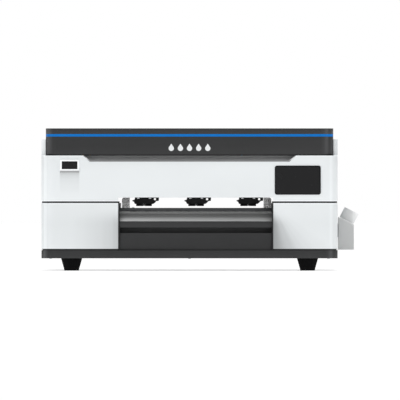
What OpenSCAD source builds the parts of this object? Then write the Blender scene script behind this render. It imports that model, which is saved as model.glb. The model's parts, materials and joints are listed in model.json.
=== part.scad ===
// Desktop uv film printer: white body, hinged dark lid, open film path over a fixed platen,
// three pinch roller units, a print carriage on a gantry, and a waste ink bottle on the side.
// Millimetres, +Z up, front towards -Y. The origin is at floor level, at the centre of the outline.

/* [Body] */
// Width of the white body
body_w = 780; // [770:1:800]
// Depth of the white body
body_d = 560; // [556:1:580]
// Radius of the body's upright corners
corner_r = 24; // [18:0.5:25]
// Thickness of the covers
wall = 3; // [2.5:0.5:3.5]

/* [Heights] */
// Height of the rubber feet
foot_h = 32.6; // [25:0.1:40]
// Height of the dark base pan
pan_h = 21.1; // [20:0.1:24]
// Dark gap between the pan and the white covers
pan_gap = 2.7; // [1:0.1:4]
// Height of the lower white covers
cover_h = 121.8; // [118:0.1:126]
// Dark seam between the lower covers and the upper shell
seam_h = 4.4; // [2:0.1:6]
// Height of the upper shell's front
shell_h = 121.4; // [121:0.1:130]
// Height of the lid
lid_h = 70.6; // [60:0.1:80]

/* [Film opening] */
// Left edge of the opening, from the middle of the body
open_left = -187.5; // [-190:0.1:-186]
// Right edge of the opening, from the middle of the body
open_right = 220.3; // [219:0.1:222]
// Thickness of the inner side frames
frame_t = 3.4; // [2:0.1:4]
// Height of the opening above the platen
open_h = 27.8; // [27.4:0.1:29]

/* [Pinch rollers] */
// Distance between neighbouring pinch units
pinch_pitch = 137.8; // [134:0.1:138.2]
// Radius of a pinch roller
pinch_r = 3.2; // [2.8:0.1:3.4]
// Gap under a raised pinch roller
pinch_lift = 5; // [4.6:0.1:5.6]

/* [Lid] */
// Side gap that leaves the white cheeks showing beside the lid
cheek_t = 11.5; // [8:0.5:12]
// Height of the cheeks above the lid's lower edge
cheek_h = 42; // [20:1:50]
// Height of the coloured stripe
stripe_h = 6.6; // [3:0.1:12]
// Distance from the lid's top to the stripe
stripe_drop = 15; // [8:0.1:20]

/* [Panels] */
// Width of the touch panel
touch_w = 121; // [114:1:128]
// Height of the touch panel
touch_h = 76.4; // [70:0.1:80]
// Width of the status display's bezel
status_w = 50.6; // [45:0.1:60]
// Height of the status display's bezel
status_h = 30.7; // [28:0.1:36]

/* [Waste bottle] */
// Width of the bottle, away from the body
bottle_w = 40.8; // [38:0.1:44]
// Depth of the bottle, along the body
bottle_d = 64; // [60:1:80]
// Height of the bottle's side next to the body
bottle_h = 86.2; // [84:0.1:88]
// Radius of the screw cap
cap_r = 20.4; // [19:0.1:21]
// Height of the screw cap
cap_h = 28.8; // [24:0.1:31]
// Lean of the screw cap
cap_tilt = 27.2; // [25:0.1:29]

/* [Hidden] */
$fn = 64;

// Colours
white_paint = [0.90, 0.92, 0.93];
dark_paint = [0.22, 0.23, 0.24];
black_paint = [0.05, 0.05, 0.055];
black_plastic = [0.07, 0.07, 0.075];
grey_plastic = [0.35, 0.36, 0.37];
zinc = [0.60, 0.61, 0.63];
aluminium = [0.66, 0.67, 0.69];
steel = [0.72, 0.73, 0.75];

// Levels
z_pan = foot_h;
z_cover = z_pan + pan_h + pan_gap;
z_seam = z_cover + cover_h;
z_shell = z_seam + seam_h;
z_lid = z_shell + shell_h;
z_top = z_lid + lid_h;
z_arch = z_shell + 10.2;
z_platen = z_arch - open_h;
z_floor = z_pan + wall;

// Body outline, with the middle of the body as zero
half_w = body_w / 2;
half_d = body_d / 2;
panel_gap = 0.3;

// Lower right: the waste bottle's place, and the screw cap's axis
bottle_x = half_w + 2.4;
bottle_y = -188;
bottle_z = z_cover - 1.3;
cap_x = bottle_x + 22.2;
cap_z = z_cover + 76.3;

// Hinge of the lid, behind the body
hinge_r = 3.5;
hinge_y = half_d + hinge_r + 0.2;
hinge_z = z_lid;
hinge_x = [-300, 300];
pin_r = 2;
run_gap = 0.05;

// Outline reach past the body, which centres the origin
bezel_t = 3;
reach_x = cap_x + cap_h * sin(cap_tilt) + cap_r * cos(cap_tilt) - half_w;
reach_y = hinge_y + hinge_r - half_d;
body_x = -reach_x / 2;
body_y = (bezel_t - reach_y) / 2;

// Film path
frame_left = open_left + frame_t;
frame_right = open_right - frame_t;
platen_half = 222;
platen_t = 7.5;
feed_r = 10;
feed_y = -118;
feed_z = z_platen - feed_r - 0.1;
journal_r = 5;

// Pinch units
pinch_x0 = (open_left + open_right) / 2 + 0.9;
pinch_z = z_platen + pinch_lift + pinch_r;
shaft_r = 5;
shaft_y = feed_y + 45;
shaft_z = pinch_z + 35.5;
axle_r = 1.2;

// Carriage, parked over the capping station
park_x = 320;
head_z = z_platen + 2.7;
rail_z = z_platen + 65;
beam_y = 45;
belt_z = z_platen + 112;
belt_y = 50;
belt_r = 6.37;
pulley_x = 352;
post_x = half_w - 12.5;
cap_top_gap = 0.5;

// Rear
fan_x = -290;
fan_z = 101;
vent_pitch = 8.4;
vent_r = 3;
socket_x = -215;
socket_z = 84;
switch_z = 122;
port_x = -348;
port_pitch = 16.4;
port_half = 7.4;

// ---------------------------------------------------------------- helpers

module at_body() translate([body_x, body_y, 0]) children();

module block(low, high) translate(low) cube(high - low);

module rounded_rect(w, d, r) {
    square([w - 2 * r, d], center = true);
    square([w, d - 2 * r], center = true);
    for (x = [-1, 1], y = [-1, 1])
        translate([x * (w / 2 - r), y * (d / 2 - r)])
            circle(r);
}

module rounded_box(w, d, z0, z1, r)
    translate([0, 0, z0])
        linear_extrude(z1 - z0)
            rounded_rect(w, d, r);

// Upright sheet that follows the body's outline
module body_tube(inset, t, z0, z1)
    difference() {
        rounded_box(body_w - 2 * inset, body_d - 2 * inset, z0, z1, corner_r - inset);
        rounded_box(body_w - 2 * inset - 2 * t, body_d - 2 * inset - 2 * t, z0 - 1, z1 + 1,
                    corner_r - inset - t);
    }

// Extrudes a profile drawn in Y and Z along X
module along_x(x0, x1)
    translate([x0, 0, 0])
        rotate([90, 0, 90])
            linear_extrude(x1 - x0)
                children();

// Extrudes a profile drawn in X and Z along Y
module along_y(y0, y1)
    translate([0, y1, 0])
        rotate([90, 0, 0])
            linear_extrude(y1 - y0)
                children();

module rod_x(x0, x1, y, z, r)
    translate([x0, y, z])
        rotate([0, 90, 0])
            cylinder(h = x1 - x0, r = r);

module rod_y(x, y0, y1, z, r)
    translate([x, y1, z])
        rotate([90, 0, 0])
            cylinder(h = y1 - y0, r = r);

module rod_z(x, y, z0, z1, r)
    translate([x, y, z0])
        cylinder(h = z1 - z0, r = r);

// ---------------------------------------------------------------- base

foot_x = 311;
foot_y = 214;
rear_foot_out = 5;
foot_low_d = 38;
foot_top_d = 56;
washer_r = 8;
bolt_r = 4;
bolt_seat = 14;
rim_t = 2;
vent_step = 30;
vent_w = 8;
vent_l = 80;

module at_feet()
    for (x = [-1, 1], y = [-1, 1])
        translate([x * (foot_x + (y > 0 ? rear_foot_out : 0)), y * foot_y, 0])
            children();

module base_pan()
    color(dark_paint) at_body() {
        difference() {
            rounded_box(body_w, body_d, z_pan, z_pan + pan_h, corner_r);
            rounded_box(body_w - 2 * wall, body_d - 2 * wall, z_floor, z_pan + pan_h + 1,
                        corner_r - wall);
            at_feet()
                rod_z(0, 0, z_pan - 1, z_floor + 1, bolt_r + 0.2);
            for (x = [-120 : vent_step : 150], y = [-60, 60])
                block([x, y - vent_l / 2, z_pan - 1], [x + vent_w, y + vent_l / 2, z_floor + 1]);
        }
        difference() {
            body_tube(wall, rim_t, z_pan + pan_h - 6, z_cover + 4);
            block([open_left - wall - 0.5, -half_d, z_pan + pan_h],
                  [open_right + wall + 0.5, 0, z_cover + 5]);
        }
    }

module rubber_feet()
    color(black_plastic) at_body() at_feet()
        difference() {
            cylinder(h = foot_h, d1 = foot_low_d, d2 = foot_top_d);
            translate([0, 0, -1])
                cylinder(h = bolt_seat + 1, r = washer_r);
            cylinder(h = foot_h + 1, r = bolt_r + 0.2);
        }

module foot_bolts()
    color(aluminium) at_body() at_feet() {
        difference() {
            rod_z(0, 0, bolt_seat - 6, bolt_seat, 6.5);
            translate([0, 0, bolt_seat - 7])
                cylinder(h = 4, r = 3.5, $fn = 6);
        }
        rod_z(0, 0, bolt_seat - 1, z_floor + 9, bolt_r);
        translate([0, 0, z_floor])
            cylinder(h = 6.5, r = 7.5, $fn = 6);
    }

module inner_frames()
    color(black_paint) at_body()
        difference() {
            for (x = [open_left, frame_right])
                block([x, -half_d + wall, z_floor], [x + frame_t, half_d - wall - rim_t - 0.5, z_seam]);
            block([-half_w, -half_d, z_floor - 1],
                  [half_w, -half_d + wall + rim_t + 0.5, z_pan + pan_h + 0.3]);
            block([-half_w, pass_y[0], z_platen - 1.5], [half_w, pass_y[1], z_seam + 1]);
            rod_x(-half_w, half_w, feed_y, feed_z, 8.05);
            for (x = [open_left - 1, frame_right - 1])
                block([x, 60, z_floor + 25], [x + frame_t + 2, 200, z_floor + 85]);
        }

// Notch in the inner frames that lets the carriage pass
pass_y = [-66, 32];

// ---------------------------------------------------------------- white covers

// One side's cover: front panel, side and rear corner, with a fold at the opening
module lower_cover(x0, x1) {
    fold_x = x0 < 0 ? x1 - wall : x0;
    intersection() {
        body_tube(0, wall, z_cover, z_seam);
        union() {
            block([x0, -half_d - 1, z_cover - 1], [x1, 0, z_seam + 1]);
            block([x0 < 0 ? x0 : half_w - corner_r, -1, z_cover - 1],
                  [x0 < 0 ? corner_r - half_w : x1, half_d + 1, z_seam + 1]);
        }
    }
    block([fold_x, -half_d, z_cover], [fold_x + wall, -half_d + 40, z_seam]);
}

module lower_left_cover()
    color(white_paint) at_body()
        lower_cover(-half_w, open_left - panel_gap);

module lower_right_cover()
    color(white_paint) at_body()
        difference() {
            lower_cover(open_right + panel_gap, half_w);
            for (dy = [-10, 10])
                rod_x(half_w - 8, half_w + 1, bottle_y + dy, z_cover + 62, 1.7);
        }

// Trapezoid finger recess under the lid's front edge
grip_drop = 17.3;
grip_top = 281.5;
grip_low = 263;
grip_depth = 27;

module grip_outline(inset)
    polygon([[-grip_top + inset, z_lid + 1], [grip_top - inset, z_lid + 1],
             [grip_top - inset, z_lid], [grip_low - inset, z_lid - grip_drop + inset],
             [inset - grip_low, z_lid - grip_drop + inset], [inset - grip_top, z_lid]]);

touch_x = 284.8;
touch_z = z_shell + 55.7;
status_x = -315.5;
status_z = z_shell + 95.1;
window_w = 41;
window_h = 20.6;

cheek_w = cheek_t - 0.4;
ledge_l = 45;
rear_widen = 20;

// Raised sides beside the lid, and the ledges under the lid's front corners
module cheeks() {
    intersection() {
        body_tube(0, cheek_w, z_lid - 6, z_lid + cheek_h);
        for (x = [-half_w, half_w - cheek_w])
            block([x, corner_r - half_d, z_lid - 7], [x + cheek_w, half_d, z_top]);
    }
    intersection() {
        body_tube(0, cheek_w, z_lid - 6, z_lid);
        for (x = [-half_w, half_w - ledge_l])
            block([x, -half_d - 1, z_lid - 7], [x + ledge_l, 0, z_lid]);
    }
}

module upper_shell()
    color(white_paint) at_body()
        difference() {
            union() {
                body_tube(0, wall, z_shell, z_lid);
                cheeks();
            }
            block([open_left, -half_d - 1, z_shell - 1], [open_right, 0, z_arch]);
            block([open_left - rear_widen, 0, z_shell - 1],
                  [open_right + rear_widen, half_d + 1, z_arch]);
            along_y(-half_d - 1, -half_d + wall + 1)
                grip_outline(0);
            block([touch_x - 56, -half_d - 1, touch_z - 34],
                  [touch_x + 56, -half_d + wall + 1, touch_z + 34]);
            block([status_x - 22, -half_d - 1, status_z - 12],
                  [status_x + 22, -half_d + wall + 1, status_z + 12]);
        }

// Rear sheet, with the film guide bent in at its top edge
apron_r = 50;
apron_t = 2.5;

module apron_profile(y_sign)
    intersection() {
        translate([y_sign * platen_half, z_platen - platen_t - apron_r])
            difference() {
                circle(apron_r, $fn = 128);
                circle(apron_r - apron_t, $fn = 128);
            }
        translate([y_sign > 0 ? platen_half : -platen_half - apron_r, z_platen - 35])
            square([apron_r, 30]);
    }

module rear_panel()
    color(white_paint) at_body()
        difference() {
            union() {
                block([corner_r - half_w + panel_gap, half_d - wall, z_cover],
                      [half_w - corner_r - panel_gap, half_d, z_seam]);
                along_x(frame_left + panel_gap, frame_right - panel_gap)
                    apron_profile(1);
                block([frame_left + panel_gap, platen_half + 44, z_platen - 35],
                      [frame_right - panel_gap, half_d - wall, z_platen - 33]);
            }
            block([open_left, half_d - wall - 1, z_platen - 33],
                  [open_right, half_d + 1, z_seam + 1]);
            block([open_left - rear_widen, half_d - wall - 1, z_platen],
                  [open_right + rear_widen, half_d + 1, z_seam + 1]);
            for (ring = [0 : 4])
                for (k = [0 : max(0, 6 * ring - 1)])
                    rotate_about_fan(360 * k / max(1, 6 * ring))
                        rod_y(fan_x + ring * vent_pitch, half_d - wall - 1, half_d + 1, fan_z, vent_r);
            block([socket_x - 14, half_d - wall - 1, socket_z - 10],
                  [socket_x + 14, half_d + 1, socket_z + 10]);
            block([socket_x - 11, half_d - wall - 1, switch_z - 14],
                  [socket_x + 11, half_d + 1, switch_z + 14]);
            for (x = [port_x - port_pitch / 2, port_x + port_pitch / 2])
                block([x - port_half - 0.2, half_d - wall - 1, socket_z - 9],
                      [x + port_half + 0.2, half_d + 1, socket_z + 9]);
        }

module rotate_about_fan(angle)
    translate([fan_x, 0, fan_z])
        rotate([0, angle, 0])
            translate([-fan_x, 0, -fan_z])
                children();

module seam_gasket()
    color(black_plastic) at_body()
        difference() {
            body_tube(1.6, 4, z_seam, z_shell);
            block([frame_left, -half_d - 1, z_seam - 1], [frame_right, 0, z_shell + 1]);
            block([open_left - rear_widen, 0, z_seam - 1],
                  [open_right + rear_widen, half_d + 1, z_shell + 1]);
        }

module grip_recess()
    color(grey_plastic) at_body()
        difference() {
            intersection() {
                along_y(-half_d + 0.2, -half_d + grip_depth)
                    grip_outline(0.2);
                block([-half_w, -half_d, z_lid - grip_drop], [half_w, 0, z_lid - 0.4]);
            }
            intersection() {
                along_y(-half_d - 1, -half_d + grip_depth - 2)
                    grip_outline(2.2);
                along_x(-grip_top, grip_top)
                    polygon([[-half_d - 1, z_lid - grip_drop + 2.2], [-half_d - 1, z_lid + 1],
                             [-half_d + grip_depth, z_lid + 1], [-half_d + grip_depth, z_lid - 5]]);
            }
        }

touch_r = 6;

module display_glass()
    color(black_paint) at_body() {
        translate([touch_x, -half_d - 1.6, touch_z])
            rotate([-90, 0, 0])
                linear_extrude(1.5)
                    rounded_rect(touch_w, touch_h, touch_r);
        block([touch_x - 55, -half_d - 0.2, touch_z - 33],
              [touch_x + 55, -half_d + 12, touch_z + 33]);
        block([status_x - window_w / 2 + 0.1, -half_d - 1.2, status_z - window_h / 2 + 0.1],
              [status_x + window_w / 2 - 0.1, -half_d + 8, status_z + window_h / 2 - 0.1]);
    }

module status_bezel()
    color(white_paint) at_body()
        difference() {
            union() {
                along_x(status_x - status_w / 2, status_x + status_w / 2)
                    polygon([[-half_d, status_z - status_h / 2 - 5],
                             [-half_d - bezel_t, status_z - status_h / 2],
                             [-half_d - bezel_t, status_z + status_h / 2 - 1.5],
                             [-half_d - bezel_t + 1.5, status_z + status_h / 2],
                             [-half_d, status_z + status_h / 2]]);
                block([status_x - 21.8, -half_d - 0.1, status_z - 11.8],
                      [status_x + 21.8, -half_d + 6, status_z + 11.8]);
            }
            block([status_x - window_w / 2, -half_d - bezel_t - 1, status_z - window_h / 2],
                  [status_x + window_w / 2, -half_d + 7, status_z + window_h / 2]);
        }

// ---------------------------------------------------------------- film path

feed_roll = [-152, 184];

module vacuum_platen()
    color([0.20, 0.21, 0.21]) at_body()
        difference() {
            block([frame_left + 0.1, -platen_half, z_platen - platen_t],
                  [frame_right - 0.1, platen_half, z_platen]);
            block([feed_roll[0] - 2, feed_y - feed_r - 1.5, z_platen - 20],
                  [feed_roll[1] + 2, feed_y + feed_r + 1.5, z_platen + 1]);
            block([frame_left, feed_y - journal_r - 1, z_platen - 20],
                  [frame_right, feed_y + journal_r + 1, z_platen - 4.5]);
            for (x = [-140 : 24 : 172], y = [-40, -16, 8, 32])
                rod_z(x, y, z_platen - 10, z_platen + 1, 1.5);
        }

apron_end = 2;

module front_apron()
    color([0.45, 0.46, 0.46]) at_body() {
        along_x(frame_left + 0.1, frame_right - 0.1)
            apron_profile(-1);
        for (x = [frame_left + 0.1, frame_right - 0.1 - apron_end])
            along_x(x, x + apron_end)
                intersection() {
                    translate([-platen_half, z_platen - platen_t - apron_r])
                        circle(apron_r - 1, $fn = 128);
                    translate([-platen_half - 30, z_platen - platen_t - apron_r + 10])
                        square([30, apron_r]);
                }
    }

fascia_y = -half_d + 8;
fascia_t = 3;
fascia_top = z_platen - 35.2;
z_cover_low = z_pan + pan_h + 0.3;
slot_depth = 32;
slot_low = z_platen - 65.5;
slot_high = z_platen - 51.5;

module front_lower_cover()
    color(dark_paint) at_body()
        along_x(frame_left + 0.1, frame_right - 0.1)
            difference() {
                union() {
                    translate([fascia_y, z_cover_low])
                        square([fascia_t, fascia_top - z_cover_low]);
                    translate([fascia_y, fascia_top - 2.8])
                        square([10, 2.8]);
                    translate([fascia_y, slot_low - fascia_t])
                        square([slot_depth + fascia_t, slot_high - slot_low + 2 * fascia_t]);
                }
                translate([fascia_y - 1, slot_low])
                    square([slot_depth + 1, slot_high - slot_low]);
            }

guide_w = 20;
guide_h = 27.3;
guide_l = 66;
guide_r = 6;
guide_gap = [6, 1.5];

module guide_profile(side)
    mirror([side < 0 ? 1 : 0, 0]) {
        square([guide_w - guide_r, guide_h]);
        square([guide_w, guide_h - guide_r]);
        translate([guide_w - guide_r, guide_h - guide_r])
            circle(guide_r);
    }

module film_guides()
    color([0.52, 0.52, 0.52]) at_body() {
        for (side = [-1, 1])
            along_y(-platen_half, -platen_half + guide_l)
                translate([side < 0 ? frame_left + guide_gap[0] + guide_w
                                    : frame_right - guide_gap[1] - guide_w, z_platen])
                    guide_profile(side);
    }

module feed_roller()
    color([0.30, 0.30, 0.31]) at_body() {
        rod_x(feed_roll[0], feed_roll[1], feed_y, feed_z, feed_r);
        rod_x(open_left - 8, open_right + 18, feed_y, feed_z, journal_r);
    }

bracket_gap = 3;
bracket_t = 7;

// Plates outside the inner frames that carry the feed roller and the pinch shaft
module roller_brackets()
    color(zinc) at_body()
        difference() {
            for (x = [open_left - bracket_gap - bracket_t, open_right + bracket_gap])
                along_x(x, x + bracket_t)
                    polygon([[feed_y - 16, z_floor + 60], [shaft_y + 9, z_floor + 60],
                             [shaft_y + 9, shaft_z + 9], [shaft_y - 12, shaft_z + 9],
                             [shaft_y - 12, feed_z + 24], [feed_y - 16, feed_z + 24]]);
            rod_x(-half_w, half_w, feed_y, feed_z, journal_r + run_gap);
            rod_x(-half_w, half_w, shaft_y, shaft_z, shaft_r + run_gap);
        }

motor_half = 21;

module feed_motor()
    color(black_paint) at_body()
        difference() {
            block([open_right + 10.5, feed_y - motor_half, feed_z - motor_half],
                  [open_right + 52, feed_y + motor_half, feed_z + motor_half]);
            rod_x(open_right, open_right + 20, feed_y, feed_z, journal_r + run_gap);
        }

// ---------------------------------------------------------------- pinch rollers

module at_pinch_units()
    for (k = [-1, 0, 1])
        translate([pinch_x0 + k * pinch_pitch, 0, 0])
            children();

module pinch_shaft()
    color(steel) at_body()
        rod_x(open_left - 14, open_right + 44, shaft_y, shaft_z, shaft_r);

eye_x = 28.9;
eye_h = 12;
eye_r = 2.9;
arm_gap = 0.5;
arm_half = 39.5;
roller_half = 20.8;

// Carrier of one unit: roller housing, bar with a spring eye, and the arms to the shaft
module pinch_arm() {
    front_y = feed_y - 9;
    rear_y = feed_y + 13;
    unit_z = pinch_z + pinch_r;
    difference() {
        along_y(front_y, rear_y)
            polygon([[-21.5, unit_z - 1], [21.5, unit_z - 1], [25, unit_z - 0.4],
                     [28.9, unit_z + 2.4], [32.6, unit_z + 6.8], [arm_half - 0.7, unit_z + 7.4],
                     [arm_half, unit_z + 13], [-24.4, unit_z + 13], [-25.5, unit_z + 10.5],
                     [-30.9, unit_z + 9], [-30.9, unit_z + 6.6], [-26.9, unit_z + 5.1],
                     [-24.4, unit_z - 0.4]]);
        rod_y(eye_x, front_y - 1, rear_y + 1, unit_z + eye_h, eye_r);
    }
    difference() {
        block([-24.4, front_y + 2, unit_z + 12.9], [arm_half, rear_y, unit_z + 21.5]);
        rod_y(eye_x, front_y, rear_y + 1, unit_z + eye_h, eye_r);
    }
    difference() {
        for (x = [-18, 10])
            along_x(x, x + 8)
                polygon([[rear_y - 8, unit_z + 10], [rear_y - 8, unit_z + 21],
                         [shaft_y - 2, shaft_z + 7.8], [shaft_y, shaft_z + 8],
                         [shaft_y, shaft_z - 8], [rear_y, unit_z + 10]]);
        rod_x(-40, 40, shaft_y, shaft_z, shaft_r);
    }
    difference() {
        rod_x(-18, 18, shaft_y, shaft_z, 8);
        rod_x(-19, 19, shaft_y, shaft_z, shaft_r);
    }
    difference() {
        along_x(-1.5, 1.5)
            union() {
                translate([feed_y, pinch_z])
                    circle(2.4);
                translate([feed_y - 2.4, pinch_z])
                    square([4.8, pinch_r + 1]);
            }
        rod_x(-2, 2, feed_y, pinch_z, axle_r + run_gap);
    }
}

module pinch_arms()
    color(black_plastic) at_body() at_pinch_units()
        difference() {
            pinch_arm();
            difference() {
                rod_x(-roller_half - arm_gap, roller_half + arm_gap, feed_y, pinch_z, pinch_r + arm_gap);
                block([-roller_half - arm_gap, feed_y - pinch_r - arm_gap, pinch_z - pinch_r - 1],
                      [roller_half + arm_gap, feed_y + pinch_r + arm_gap, pinch_z]);
                block([-1.5, feed_y - 2.4, pinch_z - 5], [1.5, feed_y + 2.4, pinch_z + 5]);
            }
        }

module pinch_roller(k)
    color(black_plastic) at_body()
        translate([pinch_x0 + k * pinch_pitch, feed_y, pinch_z])
            rotate([0, 90, 0])
                rotate_extrude()
                    polygon([[0, -roller_half], [pinch_r - 1, -roller_half],
                             [pinch_r, 1 - roller_half], [pinch_r, -2], [axle_r, -2], [axle_r, 2],
                             [pinch_r, 2], [pinch_r, roller_half - 1], [pinch_r - 1, roller_half],
                             [0, roller_half]]);

module pinch_roller_left() pinch_roller(-1);

module pinch_roller_middle() pinch_roller(0);

module pinch_roller_right() pinch_roller(1);

lever_x = open_right + 28;

module pinch_lever()
    color([0.15, 0.35, 0.70]) at_body()
        difference() {
            union() {
                rod_x(lever_x, lever_x + 12, shaft_y, shaft_z, 9);
                along_x(lever_x + 2, lever_x + 10)
                    polygon([[shaft_y - 8, shaft_z], [shaft_y + 6, shaft_z],
                             [shaft_y - 16, shaft_z + 76], [shaft_y - 26, shaft_z + 76]]);
                rod_x(lever_x - 10, lever_x + 16, shaft_y - 21, shaft_z + 76, 7);
            }
            rod_x(lever_x - 1, lever_x + 13, shaft_y, shaft_z, shaft_r);
        }

// ---------------------------------------------------------------- gantry and carriage

module gantry_posts()
    color(zinc) at_body()
        for (side = [-1, 1])
            mirror([side < 0 ? 1 : 0, 0, 0]) {
                block([post_x, 28, z_floor], [post_x + 6, 112, rail_z + 34]);
                block([post_x - 28, 28, z_floor], [post_x + 6, 112, z_floor + 4]);
            }

beam_d = 60;
beam_half = 25;
beam_t = 4;

module gantry_beam()
    color(aluminium) at_body()
        difference() {
            block([-post_x, beam_y, rail_z - beam_half],
                  [post_x, beam_y + beam_d, rail_z + beam_half]);
            block([-post_x - 1, beam_y + beam_t, rail_z - beam_half + beam_t],
                  [post_x + 1, beam_y + beam_d - beam_t, rail_z + beam_half - beam_t]);
        }

rail_half = 366;
rail_t = 10;

module linear_rail()
    color(steel) at_body()
        difference() {
            block([-rail_half, beam_y - rail_t, rail_z - 7.5], [rail_half, beam_y, rail_z + 7.5]);
            for (z = [rail_z - 9, rail_z + 6.5])
                block([-rail_half - 1, beam_y - 6, z], [rail_half + 1, beam_y - 3.5, z + 2.5]);
        }

strip_y = beam_y - 11.4;
strip_t = 0.6;

module encoder_strip()
    color([0.80, 0.82, 0.80]) at_body()
        block([-post_x, strip_y - strip_t, rail_z + 19], [post_x, strip_y, rail_z + 28]);

belt_w = 8;
belt_t = 1.5;

module carriage_belt()
    color(black_plastic) at_body()
        along_y(belt_y, belt_y + belt_w)
            difference() {
                belt_outline(belt_r + 0.1 + belt_t);
                belt_outline(belt_r + 0.1);
            }

module belt_outline(r) {
    for (x = [-pulley_x, pulley_x])
        translate([x, belt_z])
            circle(r);
    translate([-pulley_x, belt_z - r])
        square([2 * pulley_x, 2 * r]);
}

flange_r = belt_r + 2.6;

module pulley(x, bore)
    at_body()
        difference() {
            union() {
                rod_y(x, belt_y - 1.5, belt_y + 9.5, belt_z, belt_r);
                rod_y(x, belt_y - 1.5, belt_y - 0.3, belt_z, flange_r);
                rod_y(x, belt_y + 8.3, belt_y + 9.5, belt_z, flange_r);
            }
            rod_y(x, belt_y - 3, belt_y + 11, belt_z, bore);
        }

motor_shaft_r = 2.5;

module drive_pulley()
    color(aluminium) {
        pulley(pulley_x, motor_shaft_r);
        at_body()
            rod_y(pulley_x, belt_y - 1.5, belt_y + 30, belt_z, motor_shaft_r);
    }

module idler_pulley()
    color(aluminium)
        pulley(-pulley_x, motor_shaft_r + run_gap);

module belt_brackets()
    color(zinc) at_body() {
        difference() {
            block([pulley_x - motor_half, belt_y + 11.5, rail_z + beam_half],
                  [pulley_x + motor_half, belt_y + 15.5, belt_z + motor_half]);
            rod_y(pulley_x, belt_y + 10, belt_y + 17, belt_z, 4);
        }
        block([-pulley_x - motor_half, belt_y + 11.5, rail_z + beam_half],
              [-pulley_x + motor_half, belt_y + 15.5, belt_z + 15]);
        rod_y(-pulley_x, belt_y - 1.8, belt_y + 12, belt_z, motor_shaft_r);
        rod_y(-pulley_x, belt_y - 4, belt_y - 1.8, belt_z, 4);
    }

module carriage_motor()
    color(black_paint) at_body()
        difference() {
            block([pulley_x - motor_half, belt_y + 15.5, belt_z - motor_half],
                  [pulley_x + motor_half, belt_y + 54, belt_z + motor_half]);
            rod_y(pulley_x, belt_y + 15, belt_y + 32, belt_z, motor_shaft_r + run_gap);
        }

module at_carriage() at_body() translate([park_x, 0, 0]) children();

module carriage_block()
    color(steel) at_carriage()
        difference() {
            block([-30, beam_y - 21, rail_z - 16], [30, beam_y - 3, rail_z + 16]);
            block([-31, beam_y - 10.4, rail_z - 7.9], [31, beam_y, rail_z + 7.9]);
        }

plate_y = beam_y - 27;
plate_z = head_z + 4.3;

plate_t = 6;
deck_t = 4;
deck_l = 74;
carriage_half = 51;
head_x = [-24, 24];
head_half = 18;
clamp_half = 16;
jaw_t = 1.6;
jaw_z = belt_z - belt_r + 0.4;

module carriage_frame()
    color(aluminium) at_carriage() {
        block([-carriage_half, plate_y, plate_z], [carriage_half, plate_y + plate_t, belt_z + 8]);
        difference() {
            block([-carriage_half, plate_y - deck_l, plate_z],
                  [carriage_half, plate_y + 1, plate_z + deck_t]);
            for (x = head_x)
                block([x - head_half - 0.2, plate_y - 66.2, plate_z - 1],
                      [x + head_half + 0.2, plate_y - 15.8, plate_z + deck_t + 1]);
        }
        for (x = [-carriage_half, carriage_half - 2])
            along_x(x, x + 2)
                polygon([[plate_y, plate_z], [plate_y - 40, plate_z + 3], [plate_y, plate_z + 70]]);
        difference() {
            block([-clamp_half, plate_y + 5, belt_z - 15], [clamp_half, belt_y + 10.4, jaw_z + jaw_t]);
            block([-clamp_half - 1, belt_y - 0.5, jaw_z - 2.4], [clamp_half + 1, belt_y + 12, jaw_z]);
        }
        block([-8, plate_y + 5, rail_z + 20], [8, beam_y - 12.6, rail_z + 32]);
        block([-8, beam_y - 10.4, rail_z + 20], [8, beam_y - 4, rail_z + 32.5]);
    }

cover_half = 54;
cover_l = 78;
cover_t = 2;

module carriage_cover()
    color(black_plastic) at_carriage()
        difference() {
            block([-cover_half, plate_y - cover_l, plate_z + deck_t + 0.5],
                  [cover_half, plate_y - 0.3, belt_z + 16]);
            block([cover_t - cover_half, plate_y - cover_l + cover_t, plate_z - 1],
                  [cover_half - cover_t, plate_y + 1, belt_z + 16 - cover_t]);
            block([-24, plate_y - cover_l - 1, plate_z + 60], [24, plate_y - cover_l + 3, plate_z + 90]);
        }

damper_h = 26;

module print_heads()
    color(black_plastic) at_carriage()
        for (x = head_x) {
            block([x - head_half, plate_y - 66, head_z + 0.4],
                  [x + head_half, plate_y - 16, plate_z + damper_h]);
            block([x - 14, plate_y - 60, head_z], [x + 14, plate_y - 22, head_z + 0.5]);
        }

module ink_dampers()
    color(aluminium) at_carriage()
        for (x = [-40 : 16 : 40]) {
            block([x - 5, plate_y - 60, plate_z + damper_h], [x + 5, plate_y - 22, plate_z + 62]);
            rod_z(x, plate_y - 41, plate_z + 61, plate_z + 70, 2);
        }

lamp_end = 94;
lamp_fin_step = 6;

module uv_lamp()
    color([0.42, 0.43, 0.46]) at_carriage() {
        block([-lamp_end, plate_y - 62, head_z + 1.3], [-cover_half - 0.3, plate_y, plate_z + 40]);
        for (y = [plate_y - 60 : lamp_fin_step : plate_y - 4])
            block([1 - lamp_end, y, plate_z + 39], [-cover_half - 2, y + 2, plate_z + 58]);
        block([-cover_half - 2, plate_y, plate_z + 5],
              [-carriage_half, plate_y + plate_t, plate_z + 35]);
    }

// ---------------------------------------------------------------- right bay

sled_z = z_platen - 37;
sled_rod_r = 4;
sled_rods = [park_x - 44, park_x + 38];

module cap_station_base()
    color(black_plastic) at_body()
        difference() {
            block([park_x - 58, -58, z_floor], [park_x + 50, 22, sled_z - 10]);
            block([park_x - 54, -59, z_floor + 4], [park_x + 46, 18, sled_z - 18]);
            for (x = sled_rods)
                rod_z(x, -18, sled_z - 20, sled_z, sled_rod_r + run_gap);
        }

module cap_sled()
    color(zinc) at_body() {
        block([park_x - 54, -54, sled_z], [park_x + 48, 14, sled_z + 8]);
        for (x = sled_rods)
            rod_z(x, -18, sled_z - 50, sled_z + 1, sled_rod_r);
    }

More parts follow.
